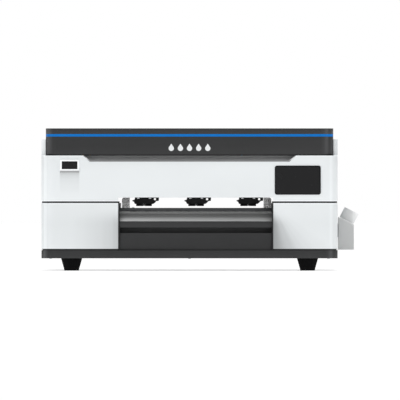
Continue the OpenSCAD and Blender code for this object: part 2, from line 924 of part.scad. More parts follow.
module cap_seals()
    color(black_plastic) at_body() {
        for (x = [park_x + head_x[0], park_x + head_x[1]])
            difference() {
                block([x - 17, -46, sled_z + 8], [x + 17, 0, head_z - cap_top_gap]);
                block([x - 14.5, -43.5, head_z - 5], [x + 14.5, -2.5, head_z]);
            }
        block([park_x - 50, -46, sled_z + 8], [park_x - 48.4, 0, head_z - cap_top_gap]);
    }

// ---------------------------------------------------------------- left bay

ink_pitch = 34;
ink_r = 14;
ink_neck_r = 7;
ink_h = 66;
rack = [[-half_w + 18, -150, z_floor], [-half_w + 128, -40, rail_z + 2]];
shelf_z = rail_z - 26;

module at_ink()
    for (i = [0 : 2], j = [0 : 2])
        translate([rack[0][0] + 21 + i * ink_pitch, rack[0][1] + 21 + j * ink_pitch, 0])
            children();

module ink_rack()
    color(aluminium) at_body()
        difference() {
            block(rack[0], rack[1]);
            block([rack[0][0] + 2, rack[0][1] + 2, shelf_z], [rack[1][0] - 2, rack[1][1] - 2, z_top]);
            block([rack[0][0] + 2, rack[0][1] - 1, z_floor - 1],
                  [rack[1][0] - 2, rack[1][1] + 1, shelf_z - 2]);
        }

module ink_bottles()
    color([0.85, 0.85, 0.86]) at_body() at_ink() {
        rod_z(0, 0, shelf_z, shelf_z + ink_h, ink_r);
        rod_z(0, 0, shelf_z + ink_h - 1, shelf_z + ink_h + 6, ink_neck_r);
    }

module ink_bottle_caps()
    color(black_plastic) at_body() at_ink()
        difference() {
            rod_z(0, 0, shelf_z + ink_h + 1, shelf_z + ink_h + 16, ink_neck_r + 2.5);
            rod_z(0, 0, shelf_z + ink_h, shelf_z + ink_h + 6, ink_neck_r);
        }

psu = [[-302, 24, z_floor + 2], [-200, 236, z_floor + 52]];

module power_supply()
    color(zinc) at_body() {
        block(psu[0], psu[1]);
        for (x = [psu[0][0] + 8, psu[1][0] - 8], y = [psu[0][1] + 10, psu[1][1] - 10])
            rod_z(x, y, z_floor, z_floor + 3, 4);
    }

board = [[-368, -262, 0], [-200, -172, 1.6]];

module main_board()
    color([0.05, 0.30, 0.18]) at_body() {
        board_z = z_floor + 14;
        board_inset = 6;
        block(board[0] + [0, 0, board_z], board[1] + [0, 0, board_z]);
        for (x = [board[0][0] + board_inset, board[1][0] - board_inset],
             y = [board[0][1] + board_inset, board[1][1] - board_inset])
            rod_z(x, y, z_floor, board_z + 0.5, 3);
        for (x = [-350 : 40 : -230], y = [-244, -206])
            block([x, y, board_z + 1], [x + 22, y + 22, board_z + 4]);
        for (x = [-350 : 30 : -230])
            block([x, -181, board_z + 1], [x + 20, -173, board_z + 12]);
    }

module fan_frame()
    color(black_plastic) at_body()
        difference() {
            block([fan_x - 40, half_d - wall - 25, fan_z - 40], [fan_x + 40, half_d - wall, fan_z + 40]);
            difference() {
                rod_y(fan_x, half_d - wall - 26, half_d - wall + 1, fan_z, 38);
                rod_y(fan_x, half_d - wall - 25, half_d - wall - 21, fan_z, 15);
                for (a = [0 : 120 : 240])
                    rotate_about_fan(a)
                        block([fan_x - 2, half_d - wall - 25, fan_z],
                              [fan_x + 2, half_d - wall - 21, fan_z + 39]);
            }
            rod_y(fan_x, half_d - wall - 24, half_d - wall - 10, fan_z, 2 + run_gap);
        }

module fan_rotor()
    color(black_plastic) at_body() {
        rod_y(fan_x, half_d - wall - 20, half_d - wall - 3, fan_z, 15);
        rod_y(fan_x, half_d - wall - 23, half_d - wall - 19, fan_z, 2);
        for (k = [0 : 6])
            rotate_about_fan(k * 360 / 7)
                translate([fan_x, half_d - wall - 11.5, fan_z])
                    rotate([0, 0, 35])
                        block([-9, -1, 13], [9, 1, 36]);
    }

// Mains inlet with its pins, the rocker switch's housing, and the data sockets
module rear_sockets()
    color(black_plastic) at_body() {
        difference() {
            union() {
                block([socket_x - 23, half_d, socket_z - 13], [socket_x + 23, half_d + 2, socket_z + 13]);
                block([socket_x - 13.8, half_d - 30, socket_z - 9.8],
                      [socket_x + 13.8, half_d + 1, socket_z + 9.8]);
            }
            block([socket_x - 12, half_d - 16, socket_z - 8], [socket_x + 12, half_d + 3, socket_z + 8]);
        }
        for (k = [-1, 0, 1])
            block([socket_x + 7 * k - 1, half_d - 18, socket_z - 4 + (k == 0 ? 4 : 0)],
                  [socket_x + 7 * k + 1, half_d - 4, socket_z + (k == 0 ? 4 : 0)]);
        difference() {
            block([socket_x - 10.8, half_d - 24, switch_z - 13.8],
                  [socket_x + 10.8, half_d + 1.5, switch_z + 13.8]);
            block([socket_x - 8.5, half_d - 18, switch_z - 11.5],
                  [socket_x + 8.5, half_d + 3, switch_z + 11.5]);
        }
        for (x = [port_x - port_pitch / 2, port_x + port_pitch / 2])
            difference() {
                block([x - port_half, half_d - 22, socket_z - 8.8],
                      [x + port_half, half_d + 0.5, socket_z + 8.8]);
                block([x - 6, half_d - 14, socket_z - 5.5], [x + 6, half_d + 3, socket_z + 5.5]);
            }
    }

switch_y = half_d - 6;

switch_tilt = 8;

module power_switch()
    color([0.65, 0.08, 0.07]) at_body()
        translate([0, switch_y, switch_z])
            rotate([-switch_tilt, 0, 0])
                along_x(socket_x - 8, socket_x + 8)
                    polygon([[-4, -8], [8, -9.3], [5.5, 0], [8, 9.3], [-4, 8]]);

// ---------------------------------------------------------------- lid

lid_w = body_w - 2 * cheek_t;
lid_clear = 0.6;
lid_r = corner_r + 6;
stripe_z = z_top - stripe_drop - stripe_h;

module lid()
    color(dark_paint) at_body()
        difference() {
            rounded_box(lid_w, body_d, z_lid + lid_clear, z_top, lid_r);
            rounded_box(lid_w - 2 * wall, body_d - 2 * wall, z_lid, z_top - wall, lid_r - wall);
            difference() {
                rounded_box(lid_w + 2, body_d + 2, stripe_z, stripe_z + stripe_h, lid_r + 1);
                rounded_box(lid_w - 2, body_d - 2, stripe_z - 1, stripe_z + stripe_h + 1, lid_r - 1);
                block([-half_w, half_d - lid_r, stripe_z - 1], [half_w, half_d + 2, z_top]);
            }
        }

module lid_stripe()
    color([0.08, 0.47, 0.78]) at_body()
        difference() {
            rounded_box(lid_w, body_d, stripe_z, stripe_z + stripe_h, lid_r);
            rounded_box(lid_w - 2, body_d - 2, stripe_z - 1, stripe_z + stripe_h + 1, lid_r - 1);
            block([-half_w, half_d - lid_r, stripe_z - 1], [half_w, half_d + 2, z_top]);
        }

// Row of plain ink drops on the lid's front
drop_r = 7;
drop_pitch = 24;
emblem_z = z_lid + 18;

module lid_emblem()
    color(white_paint) at_body()
        for (k = [-2 : 2])
            translate([k * drop_pitch, 0, 0])
                along_y(-half_d - 0.6, -half_d)
                    union() {
                        translate([0, emblem_z])
                            circle(drop_r);
                        polygon([[-drop_r * cos(35), emblem_z + drop_r * sin(35)],
                                 [drop_r * cos(35), emblem_z + drop_r * sin(35)],
                                 [0, emblem_z + drop_r / sin(35)]]);
                    }

leaf_t = 1.8;
knuckle = 15;
knuckle_gap = 0.3;

module lid_hinge_base()
    color(zinc) at_body()
        for (x = hinge_x)
            translate([x, 0, 0]) {
                block([-25, half_d, hinge_z - 26], [25, half_d + leaf_t, hinge_z - 4.2]);
                for (x0 = [-25, 10])
                    block([x0, half_d, hinge_z - 26], [x0 + knuckle, half_d + leaf_t, hinge_z - 1]);
                for (x0 = [-25, 10])
                    rod_x(x0, x0 + knuckle, hinge_y, hinge_z, hinge_r);
                rod_x(-25, 25, hinge_y, hinge_z, pin_r);
            }

module lid_hinge_leaf()
    color(zinc) at_body()
        for (x = hinge_x)
            translate([x, 0, 0])
                difference() {
                    union() {
                        block([-25, half_d, hinge_z + 4.2], [25, half_d + leaf_t, hinge_z + 26]);
                        block([-10 + knuckle_gap, half_d, hinge_z + 1],
                              [10 - knuckle_gap, half_d + leaf_t, hinge_z + 26]);
                        rod_x(-10 + knuckle_gap, 10 - knuckle_gap, hinge_y, hinge_z, hinge_r);
                    }
                    rod_x(-12, 12, hinge_y, hinge_z, pin_r + run_gap);
                }

// ---------------------------------------------------------------- waste bottle

tee_low = z_cover + 36;
tee_high = z_cover + 58;
neck_r = 15;
bottle_wall = 1.6;

module tee(x0, grow)
    translate([x0, bottle_y]) {
        translate([0, -8 - grow])
            square([3.5 + grow, 16 + 2 * grow]);
        translate([3 - grow, -12 - grow])
            square([3 + 2 * grow, 24 + 2 * grow]);
    }

module bottle_hanger()
    color(white_paint) at_body() {
        difference() {
            block([half_w, bottle_y - 22, tee_low - 4], [half_w + 2, bottle_y + 22, tee_high + 10]);
            for (dy = [-10, 10])
                rod_x(half_w - 1, half_w + 3, bottle_y + dy, z_cover + 62, 1.7);
        }
        translate([0, 0, tee_low])
            linear_extrude(tee_high - tee_low)
                tee(half_w + 1.9, 0);
    }

shoulder_drop = 20;

module bottle_outline(inset)
    polygon([[bottle_x + inset, bottle_z + inset],
             [bottle_x + bottle_w - inset, bottle_z + inset],
             [bottle_x + bottle_w - inset, bottle_z + bottle_h - shoulder_drop - inset],
             [bottle_x + inset, bottle_z + bottle_h - inset]]);

module on_cap_axis()
    translate([cap_x, bottle_y, cap_z])
        rotate([0, cap_tilt, 0])
            children();

module waste_bottle()
    color([0.70, 0.71, 0.71]) at_body()
        difference() {
            union() {
                along_y(bottle_y - bottle_d / 2, bottle_y + bottle_d / 2)
                    bottle_outline(0);
                on_cap_axis()
                    translate([0, 0, -6])
                        cylinder(h = 25, r = neck_r);
            }
            difference() {
                along_y(bottle_y - bottle_d / 2 + bottle_wall, bottle_y + bottle_d / 2 - bottle_wall)
                    bottle_outline(bottle_wall);
                block([bottle_x - 1, bottle_y - 16, z_cover], [bottle_x + 9, bottle_y + 16, tee_high + 6]);
            }
            translate([0, 0, z_cover - 2])
                linear_extrude(tee_high + 3 - z_cover)
                    tee(half_w + 1.9, 0.4);
            on_cap_axis()
                translate([0, 0, -12])
                    cylinder(h = 40, r = neck_r - 2);
        }

module waste_cap()
    color([0.78, 0.79, 0.79]) at_body() on_cap_axis()
        difference() {
            cylinder(h = cap_h, r = cap_r);
            translate([0, 0, -1])
                cylinder(h = cap_h - 3, r = neck_r + run_gap);
        }

base_pan();
rubber_feet();
foot_bolts();
inner_frames();
lower_left_cover();
lower_right_cover();
upper_shell();
rear_panel();
seam_gasket();
grip_recess();
display_glass();
status_bezel();
vacuum_platen();
front_apron();
front_lower_cover();
film_guides();
gantry_posts();
gantry_beam();
linear_rail();
encoder_strip();
carriage_belt();
carriage_motor();
belt_brackets();
roller_brackets();
feed_motor();
cap_station_base();
ink_rack();
ink_bottles();
ink_bottle_caps();
power_supply();
main_board();
fan_frame();
rear_sockets();
bottle_hanger();
lid_hinge_base();
lid();
lid_stripe();
lid_emblem();
lid_hinge_leaf();
carriage_block();
carriage_frame();
carriage_cover();
print_heads();
ink_dampers();
uv_lamp();
drive_pulley();
idler_pulley();
feed_roller();
pinch_shaft();
pinch_arms();
pinch_lever();
pinch_roller_left();
pinch_roller_middle();
pinch_roller_right();
cap_sled();
cap_seals();
fan_rotor();
power_switch();
waste_bottle();
waste_cap();
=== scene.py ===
import json
import math

import bmesh
import bpy
from mathutils import Matrix, Vector


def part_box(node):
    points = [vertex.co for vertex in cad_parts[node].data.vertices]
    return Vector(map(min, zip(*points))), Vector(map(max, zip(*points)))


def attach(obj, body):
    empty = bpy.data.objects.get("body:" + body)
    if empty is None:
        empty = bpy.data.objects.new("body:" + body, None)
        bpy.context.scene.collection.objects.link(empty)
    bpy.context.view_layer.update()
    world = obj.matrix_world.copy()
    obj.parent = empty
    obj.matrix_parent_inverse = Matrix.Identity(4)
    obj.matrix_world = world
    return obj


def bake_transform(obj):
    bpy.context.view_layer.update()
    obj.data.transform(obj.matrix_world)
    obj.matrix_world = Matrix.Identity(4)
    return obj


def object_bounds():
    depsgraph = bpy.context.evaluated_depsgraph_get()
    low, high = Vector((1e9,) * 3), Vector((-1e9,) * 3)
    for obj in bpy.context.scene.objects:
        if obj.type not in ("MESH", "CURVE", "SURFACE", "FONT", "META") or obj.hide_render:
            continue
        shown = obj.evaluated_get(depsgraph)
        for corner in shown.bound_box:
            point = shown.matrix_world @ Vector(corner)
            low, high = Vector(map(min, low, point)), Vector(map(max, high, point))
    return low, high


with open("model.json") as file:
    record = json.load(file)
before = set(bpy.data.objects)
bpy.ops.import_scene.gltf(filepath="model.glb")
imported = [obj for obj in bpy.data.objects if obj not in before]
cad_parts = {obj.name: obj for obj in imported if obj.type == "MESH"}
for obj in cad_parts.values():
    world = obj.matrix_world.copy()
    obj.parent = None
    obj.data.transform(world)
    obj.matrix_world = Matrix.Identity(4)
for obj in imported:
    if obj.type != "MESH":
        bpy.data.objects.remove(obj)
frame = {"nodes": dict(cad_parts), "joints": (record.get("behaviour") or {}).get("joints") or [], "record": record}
cad_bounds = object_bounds()
nodes = frame["nodes"]

MM = 0.001
FLOOR_Z = 0.0
EDGE_ANGLE = math.radians(35.0)


def corners(name):
    """A CAD node's lowest and highest corner, in metres."""
    return tuple(Vector(corner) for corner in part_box(name))


pan_low, pan_high = corners("base_pan")
MIDDLE = Vector(((pan_low.x + pan_high.x) / 2, (pan_low.y + pan_high.y) / 2, 0.0))


def at(x, y, z):
    """Millimetres from the middle of the body, and above the floor, to the row frame."""
    return MIDDLE + Vector((x, y, z)) * MM


def box_of(name):
    """A CAD node's lowest and highest corner, in millimetres from the middle of the body."""
    return tuple((corner - MIDDLE) / MM for corner in corners(name))


# ------------------------------------------------------------------ materials

class Surface:
    """A Principled material whose detail comes from object coordinates, in metres."""

    def __init__(self, name, colour, roughness, metallic=0.0, **sockets):
        self.material = bpy.data.materials.new(name)
        self.material.use_nodes = True
        self.tree = self.material.node_tree
        self.shader = self.tree.nodes["Principled BSDF"]
        self.shader.inputs["Base Color"].default_value = (*colour, 1.0)
        self.shader.inputs["Roughness"].default_value = roughness
        self.shader.inputs["Metallic"].default_value = metallic
        self.shader.inputs["Specular IOR Level"].default_value = 0.4
        for socket, value in sockets.items():
            self.shader.inputs[socket.replace("_", " ")].default_value = value
        self.coords = self.new("ShaderNodeTexCoord").outputs["Object"]
        self.heights = []

    def new(self, kind, **settings):
        made = self.tree.nodes.new(kind)
        for key, value in settings.items():
            setattr(made, key, value)
        return made

    def link(self, source, target):
        self.tree.links.new(source, target)

    def stretched(self, scale):
        """The coordinates, scaled axis by axis."""
        mapping = self.new("ShaderNodeMapping")
        mapping.inputs["Scale"].default_value = scale
        self.link(self.coords, mapping.inputs["Vector"])
        return mapping.outputs["Vector"]

    def noise(self, scale, detail=3.0, stretch=None, offset=0.0):
        made = self.new("ShaderNodeTexNoise", noise_dimensions="4D")
        made.inputs["W"].default_value = offset
        made.inputs["Scale"].default_value = scale
        made.inputs["Detail"].default_value = detail
        self.link(self.stretched(stretch) if stretch else self.coords, made.inputs["Vector"])
        return made.outputs["Fac"]

    def cells(self, scale):
        made = self.new("ShaderNodeTexVoronoi", feature="F1")
        made.inputs["Scale"].default_value = scale
        self.link(self.coords, made.inputs["Vector"])
        return made.outputs["Distance"]

    def axis(self, index):
        """One coordinate: 0 for X, 1 for Y, 2 for Z."""
        split = self.new("ShaderNodeSeparateXYZ")
        self.link(self.coords, split.inputs[0])
        return split.outputs[index]

    def ramp(self, value, low, high, out_low=0.0, out_high=1.0, smooth=False):
        """Carries a value from one range to another, and holds it at both ends."""
        made = self.new("ShaderNodeMapRange", interpolation_type="SMOOTHSTEP" if smooth else "LINEAR")
        for socket, number in zip(("From Min", "From Max", "To Min", "To Max"),
                                  (low, high, out_low, out_high)):
            made.inputs[socket].default_value = number
        self.link(value, made.inputs["Value"])
        return made.outputs["Result"]

    def math(self, operation, a, b=0.0):
        made = self.new("ShaderNodeMath", operation=operation)
        for socket, value in zip(made.inputs, (a, b)):
            if isinstance(value, (int, float)):
                socket.default_value = value
            else:
                self.link(value, socket)
        return made.outputs[0]

    def mix(self, factor, a, b):
        made = self.new("ShaderNodeMix", data_type="RGBA")
        self.link(factor, made.inputs["Factor"])
        for socket, value in ((made.inputs[6], a), (made.inputs[7], b)):
            if isinstance(value, tuple):
                socket.default_value = (*value, 1.0)
            else:
                self.link(value, socket)
        return made.outputs[2]

    def curve(self, value, stops):
        """Grey factor along a value from 0 to 1, through (place, factor) stops."""
        made = self.new("ShaderNodeValToRGB")
        ramp = made.color_ramp
        ramp.interpolation = "EASE"
        while len(ramp.elements) < len(stops):
            ramp.elements.new(0.5)
        for element, (place, factor) in zip(ramp.elements, stops):
            element.position = place
            element.color = (factor, factor, factor, 1.0)
        self.link(value, made.inputs["Fac"])
        return made.outputs["Color"]

    def multiply(self, a, b):
        made = self.new("ShaderNodeMix", data_type="RGBA", blend_type="MULTIPLY")
        made.inputs["Factor"].default_value = 1.0
        self.link(a, made.inputs[6])
        self.link(b, made.inputs[7])
        return made.outputs[2]

    def shade(self, factor):
        """Multiplies the base colour that is linked already."""
        socket = self.shader.inputs["Base Color"]
        self.colour(self.multiply(socket.links[0].from_socket, factor))

    def shade_along(self, axis, start, end, stops):
        """Multiplies the base colour by a curve drawn between two places on an axis."""
        self.shade(self.curve(self.ramp(self.axis(axis), start, end), stops))

    def colour(self, value):
        self.link(value, self.shader.inputs["Base Color"])

    def roughness(self, value):
        self.link(value, self.shader.inputs["Roughness"])

    def bump(self, height, distance, strength=1.0):
        """Adds relief, on top of any that is there already."""
        made = self.new("ShaderNodeBump")
        made.inputs["Distance"].default_value = distance
        made.inputs["Strength"].default_value = strength
        self.link(height, made.inputs["Height"])
        if self.heights:
            self.link(self.heights[-1], made.inputs["Normal"])
        self.heights.append(made.outputs["Normal"])
        self.link(made.outputs["Normal"], self.shader.inputs["Normal"])


def tinted(colour, factor):
    """A colour made lighter or darker."""
    return tuple(min(1.0, c * factor) for c in colour)


def coated(name, colour, roughness, spread):
    """Powder coat or paint: orange peel, faint clouding and uneven gloss."""
    s = Surface(name, colour, roughness)
    clouds = s.ramp(s.noise(7.0, 4.0), 0.3, 0.7)
    s.colour(s.mix(clouds, tinted(colour, 1 - spread), tinted(colour, 1 + spread)))
    s.roughness(s.ramp(s.noise(60.0, 5.0, offset=3.0), 0.3, 0.7, roughness - 0.05, roughness + 0.05))
    s.bump(s.noise(900.0, 2.0), 0.00006, 0.5)
    return s


def moulded(name, colour, roughness, spread=0.05, specular=0.4):
    """Moulded plastic: fine spark-eroded texture and slight colour drift."""
    s = Surface(name, colour, roughness, Specular_IOR_Level=specular)
    drift = s.ramp(s.noise(16.0, 3.0, offset=1.0), 0.3, 0.7)
    s.colour(s.mix(drift, tinted(colour, 1 - spread), tinted(colour, 1 + spread)))
    s.roughness(s.ramp(s.noise(220.0, 4.0, offset=5.0), 0.3, 0.7, roughness - 0.07, roughness + 0.07))
    s.bump(s.cells(1500.0), 0.00008, 0.4)
    return s


def brushed(name, colour, roughness, along=0, lines=700.0, depth=0.00003, spread=0.12):
    """Metal with fine lines along one axis."""
    s = Surface(name, colour, roughness, metallic=1.0)
    stretch = tuple(0.012 if i == along else 1.0 for i in range(3))
    streaks = s.noise(lines, 3.0, stretch=stretch)
    stains = s.noise(12.0, 4.0, offset=2.0)
    streaked = s.mix(s.ramp(streaks, 0.3, 0.7), tinted(colour, 1 - spread), tinted(colour, 1 + spread))
    s.colour(s.mix(s.ramp(stains, 0.45, 0.8, 0.0, 0.35), streaked, tinted(colour, 0.85)))
    s.roughness(s.ramp(streaks, 0.25, 0.75, roughness - 0.08, roughness + 0.1))
    s.bump(streaks, depth, 0.6)
    return s


def rubbery(name, colour, roughness=0.75, dusty=1.9, specular=0.4):
    """Rubber: dull, finely pitted and dusty in patches."""
    s = Surface(name, colour, roughness, Specular_IOR_Level=specular)
    dust = s.ramp(s.noise(90.0, 5.0, offset=4.0), 0.5, 0.75)
    s.colour(s.mix(dust, colour, tinted(colour, dusty)))
    s.roughness(s.ramp(s.noise(300.0, 3.0), 0.3, 0.7, roughness - 0.1, roughness + 0.08))
    s.bump(s.noise(1100.0, 2.0, offset=6.0), 0.0001, 0.5)
    return s


WHITE = (0.800, 0.830, 0.842)
DARK = (0.021, 0.0215, 0.0225)


def speckled():
    """Grained casting of the film guides: light and dark grains a fraction of a millimetre wide."""
    s = Surface("guide_casting", (0.22, 0.22, 0.22), 0.62, metallic=0.35)
    grains = s.ramp(s.noise(330.0, 4.0), 0.40, 0.60)
    s.colour(s.mix(grains, (0.20, 0.20, 0.20), (0.86, 0.86, 0.86)))
    s.roughness(s.ramp(s.noise(900.0, 2.0, offset=2.0), 0.3, 0.7, 0.45, 0.8))
    s.bump(s.noise(700.0, 3.0), 0.0002, 0.8)
    return s


def apron_metal():
    """Rolled sheet, with a painted highlight along its top and painted shade in the middle of the bend."""
    s = brushed("apron_metal", (0.78, 0.79, 0.79), 0.42, depth=0.00001, spread=0.05)
    s.shader.inputs["Metallic"].default_value = 0.5
    low, high = corners("front_apron")
    # Painted light and shade along the height: bright along the top, dark in the middle of the bend.
    s.shade_along(2, low.z, high.z, ((0.0, 0.78), (0.30, 0.78), (0.48, 0.62), (0.62, 0.42), (0.78, 0.44),
                                     (0.90, 1.28), (1.0, 1.28)))
    return s


# Painted highlight and painted shade bands round the front corners: (place, factor) stops from either side
# inwards, over BAND_REACH.
BAND_REACH = 0.040
WHITE_LEFT = ((0.0, 1.0), (0.16, 1.0), (0.20, 1.12), (0.27, 1.08), (0.35, 1.06), (0.39, 1.0), (0.5, 1.02),
              (1.0, 1.0))
WHITE_RIGHT = ((0.0, 0.96), (0.21, 0.94), (0.28, 0.945), (0.35, 0.99), (0.41, 1.035), (0.475, 1.05),
               (0.545, 1.015), (0.62, 1.0), (1.0, 1.0))
DARK_LEFT = ((0.0, 0.5), (0.12, 0.5), (0.15, 3.3), (0.25, 3.0), (0.30, 2.1), (0.38, 1.7), (0.44, 1.0),
             (1.0, 1.0))
DARK_RIGHT = ((0.0, 1.3), (0.25, 0.9), (0.32, 1.45), (0.385, 2.1), (0.45, 2.6), (0.515, 2.4), (0.585, 1.9),
              (0.65, 1.45), (0.72, 1.15), (0.80, 1.0), (1.0, 1.0))


def painted_corner_bands(s, low, high, left=WHITE_LEFT, right=WHITE_RIGHT):
    """Painted highlight and painted shade bands where the two front corners turn away, as the photo shows them."""
    front = s.ramp(s.axis(1), low.y + 0.010, low.y + 0.026, 1.0, 0.0)
    for side, reach, stops in ((low.x, BAND_REACH, left), (high.x, -BAND_REACH, right)):
        band = s.curve(s.ramp(s.axis(0), side, side + reach), stops)
        s.shade(s.math("ADD", s.math("MULTIPLY", s.math("SUBTRACT", band, 1.0), front), 1.0))


def pan_coating():
    """The base pan's dark paint, with painted highlight and painted shade bands round its front corners."""
    s = coated("pan_coating", DARK, 0.48, spread=0.08)
    painted_corner_bands(s, *corners("base_pan"), DARK_LEFT, DARK_RIGHT)
    return s


def cover_coating():
    """The covers' paint, with painted shade low down beside the film path, a painted shadow line along the edge on
    the base pan, a painted highlight along the top edge and painted corner bands.
    """
    s = coated("cover_coating", WHITE, 0.42, spread=0.012)
    left_low, left_high = corners("lower_left_cover")
    low, high = corners("lower_right_cover")
    down = s.ramp(s.axis(2), high.z - 0.060, high.z - 0.010, 1.0, 0.0, smooth=True)
    front = s.ramp(s.axis(1), low.y, low.y + 0.03, 1.0, 0.0)
    left = s.curve(s.ramp(s.axis(0), left_high.x, left_high.x - 0.125),
                   ((0.0, 0.30), (0.07, 0.24), (0.15, 0.17), (0.24, 0.145), (0.40, 0.10), (0.58, 0.066),
                    (0.80, 0.026), (1.0, 0.0)))
    reach = s.ramp(s.axis(2), low.z, high.z - 0.030, 0.090, 0.018)
    away = s.math("DIVIDE", s.math("SUBTRACT", s.axis(0), low.x), reach)
    right = s.curve(s.ramp(away, 0.0, 2.0), ((0.0, 0.56), (0.25, 0.28), (0.40, 0.13), (0.50, 0.08),
                                             (0.70, 0.03), (1.0, 0.0)))
    beside = s.math("ADD", s.math("MULTIPLY", left, s.math("LESS_THAN", s.axis(0), left_high.x)),
                    s.math("MULTIPLY", right, s.math("GREATER_THAN", s.axis(0), left_high.x)))
    # Painted shade: greyer low down beside the film path.
    grey = s.math("MULTIPLY", s.math("MULTIPLY", down, front), s.math("ADD", beside, 0.05))
    s.shade(s.math("SUBTRACT", 1.0, grey))
    painted_corner_bands(s, left_low, high)
    # Painted shadow line along the bottom edge on the base pan, and a painted highlight along the top edge.
    s.shade_along(2, low.z, high.z, ((0.0, 0.0), (0.009, 0.0), (0.011, 1.0), (0.965, 1.0), (0.985, 1.13),
                                     (1.0, 1.13)))
    return s


def grip_plastic():
    """Finger recess with painted light and shade along its height, paler towards its open edge."""
    s = moulded("grip_plastic", (0.80, 0.81, 0.82), 0.5)
    low, high = corners("grip_recess")
    s.shade_along(2, low.z, high.z, ((0.0, 0.30), (0.21, 0.43), (0.37, 0.70), (0.53, 1.0), (0.68, 0.60),
                                     (0.84, 0.36), (1.0, 0.20)))
    return s


def lid_paint():
    """The lid's paint, with painted shade and a thin painted highlight along its lower edge, and painted
    highlights round the front corners.
    """
    s = coated("lid_plastic", DARK, 0.46, spread=0.06)
    low, high = corners("lid")
    # Painted shade and a thin painted highlight along the lower edge.
    s.shade_along(2, low.z, low.z + 0.040, ((0.0, 0.26), (0.055, 0.28), (0.080, 1.10), (0.12, 0.88),
                                            (0.55, 0.88), (0.90, 1.0)))
    from_left = s.ramp(s.axis(0), low.x, low.x + 0.030)
    from_right = s.ramp(s.axis(0), high.x, high.x - 0.045)
    front = s.math("LESS_THAN", s.axis(1), low.y + 0.04)
    left = s.curve(from_left, ((0.0, 0.20), (0.10, 0.10), (0.17, 1.55), (0.32, 1.20), (0.48, 0.45),
                               (0.65, 0.0)))
    right = s.curve(from_right, ((0.0, 0.34), (0.10, 0.26), (0.20, 0.16), (0.25, 0.05), (0.32, 0.85),
                                 (0.42, 0.92), (0.58, 0.30), (0.78, 0.0)))
    # Painted highlights round the two front corners.
    paler = s.math("MULTIPLY", s.math("ADD", left, right), front)
    s.shade(s.math("ADD", s.math("MULTIPLY", paler, 1.25), 1.0))
    return s


def fascia_coating():
    """Dark paint of the front lower cover, with painted light making it paler towards its top."""
    s = coated("fascia_coating", DARK, 0.48, spread=0.06)
    low, high = corners("front_lower_cover")
    s.shade_along(2, low.z, high.z, ((0.0, 0.78), (0.15, 0.80), (0.62, 1.02), (1.0, 1.16)))
    return s


# Height of the painted shadow line on the shell below the lid's lower edge.
LID_GAP_SHADOW_HEIGHT = 0.0016


def shade_below_window(s):
    """Soft shade on the shell below the status window's raised frame."""
    low, high = corners("status_bezel")
    beside = s.math("MINIMUM", s.ramp(s.axis(0), low.x - 0.002, low.x + 0.002),
                    s.ramp(s.axis(0), high.x + 0.002, high.x - 0.002))
    depth = s.curve(s.ramp(s.axis(2), low.z, low.z - 0.060),
                    ((0.0, 0.34), (0.025, 0.30), (0.045, 0.24), (0.15, 0.15), (0.30, 0.09), (0.6, 0.05),
                     (1.0, 0.0)))
    below = s.math("MULTIPLY", depth, s.math("LESS_THAN", s.axis(2), low.z))
    s.shade(s.math("SUBTRACT", 1.0, s.math("MULTIPLY", below, beside)))


def shell_coating():
    """The body's paint, with painted highlights on its edges, painted shade on the right cheek, a painted shadow
    under the lid.
    """
    s = coated("shell_coating", WHITE, 0.42, spread=0.012)
    low, high = corners("upper_shell")
    lid_low, lid_high = corners("lid")
    # Painted highlight along the rim just under the lid, and painted shade on the right cheek above it.
    rim = s.ramp(s.axis(2), lid_low.z - 0.0045, lid_low.z - 0.0012)
    above = s.math("GREATER_THAN", s.axis(2), lid_low.z + 0.001)
    right_cheek = s.math("MULTIPLY", above, s.math("GREATER_THAN", s.axis(0), 0.0))
    s.shade(s.math("SUBTRACT", s.math("ADD", s.math("MULTIPLY", rim, 0.18), 1.0),
                   s.math("MULTIPLY", right_cheek, 0.20)))
    painted_corner_bands(s, low, high)
    # Painted highlight along the bottom edge.
    s.shade(s.ramp(s.axis(2), low.z + 0.001, low.z + 0.004, 1.10, 1.0))
    shade_below_window(s)
    # Painted shadow line along the top of the shell under the lid's lower edge.
    under_lid = s.math("MULTIPLY", s.math("GREATER_THAN", s.axis(0), lid_low.x),
                       s.math("LESS_THAN", s.axis(0), lid_high.x))
    lid_gap_shadow = s.math("MULTIPLY", s.math("GREATER_THAN", s.axis(2), lid_low.z - LID_GAP_SHADOW_HEIGHT), under_lid)
    s.shade(s.math("SUBTRACT", 1.0, s.math("MULTIPLY", lid_gap_shadow, 0.97)))
    return s


def bezel_plastic():
    """Bright frame of the status window, with painted shade along its lower edge."""
    s = moulded("bezel_plastic", (0.86, 0.88, 0.89), 0.4, spread=0.015)
    low, high = corners("status_bezel")
    s.shade_along(2, low.z, high.z, ((0.0, 0.46), (0.08, 0.42), (0.11, 0.36), (0.16, 0.42), (0.18, 1.12),
                                     (1.0, 1.12)))
    return s


def cap_plastic():
    """The bottle's cap, with painted shade in its middle and a painted highlight on the side away from the
    machine.
    """
    s = moulded("cap_plastic", (0.72, 0.73, 0.73), 0.42, spread=0.04)
    low, high = corners("waste_cap")
    s.shade_along(0, low.x, high.x, ((0.0, 1.0), (0.45, 0.90), (0.62, 0.93), (0.75, 1.06), (1.0, 1.12)))
    return s


def graduated_film():
    """Clear encoder strip with fine dark graduations."""
    s = moulded("film_strip", (0.50, 0.52, 0.50), 0.25)
    marks = s.math("FRACT", s.math("MULTIPLY", s.axis(0), 700.0))
    s.shade(s.curve(marks, ((0.0, 1.0), (0.45, 1.0), (0.55, 0.25), (1.0, 0.25))))
    return s


def banded_roller():
    """Feed roller: grit bands between bare shaft lengths."""
    s = rubbery("roller_coating", (0.035, 0.035, 0.037), 0.8)
    bands = s.math("FRACT", s.math("MULTIPLY", s.axis(0), 22.0))
    s.shade(s.curve(bands, ((0.0, 1.0), (0.62, 1.0), (0.68, 3.2), (1.0, 3.2))))
    return s


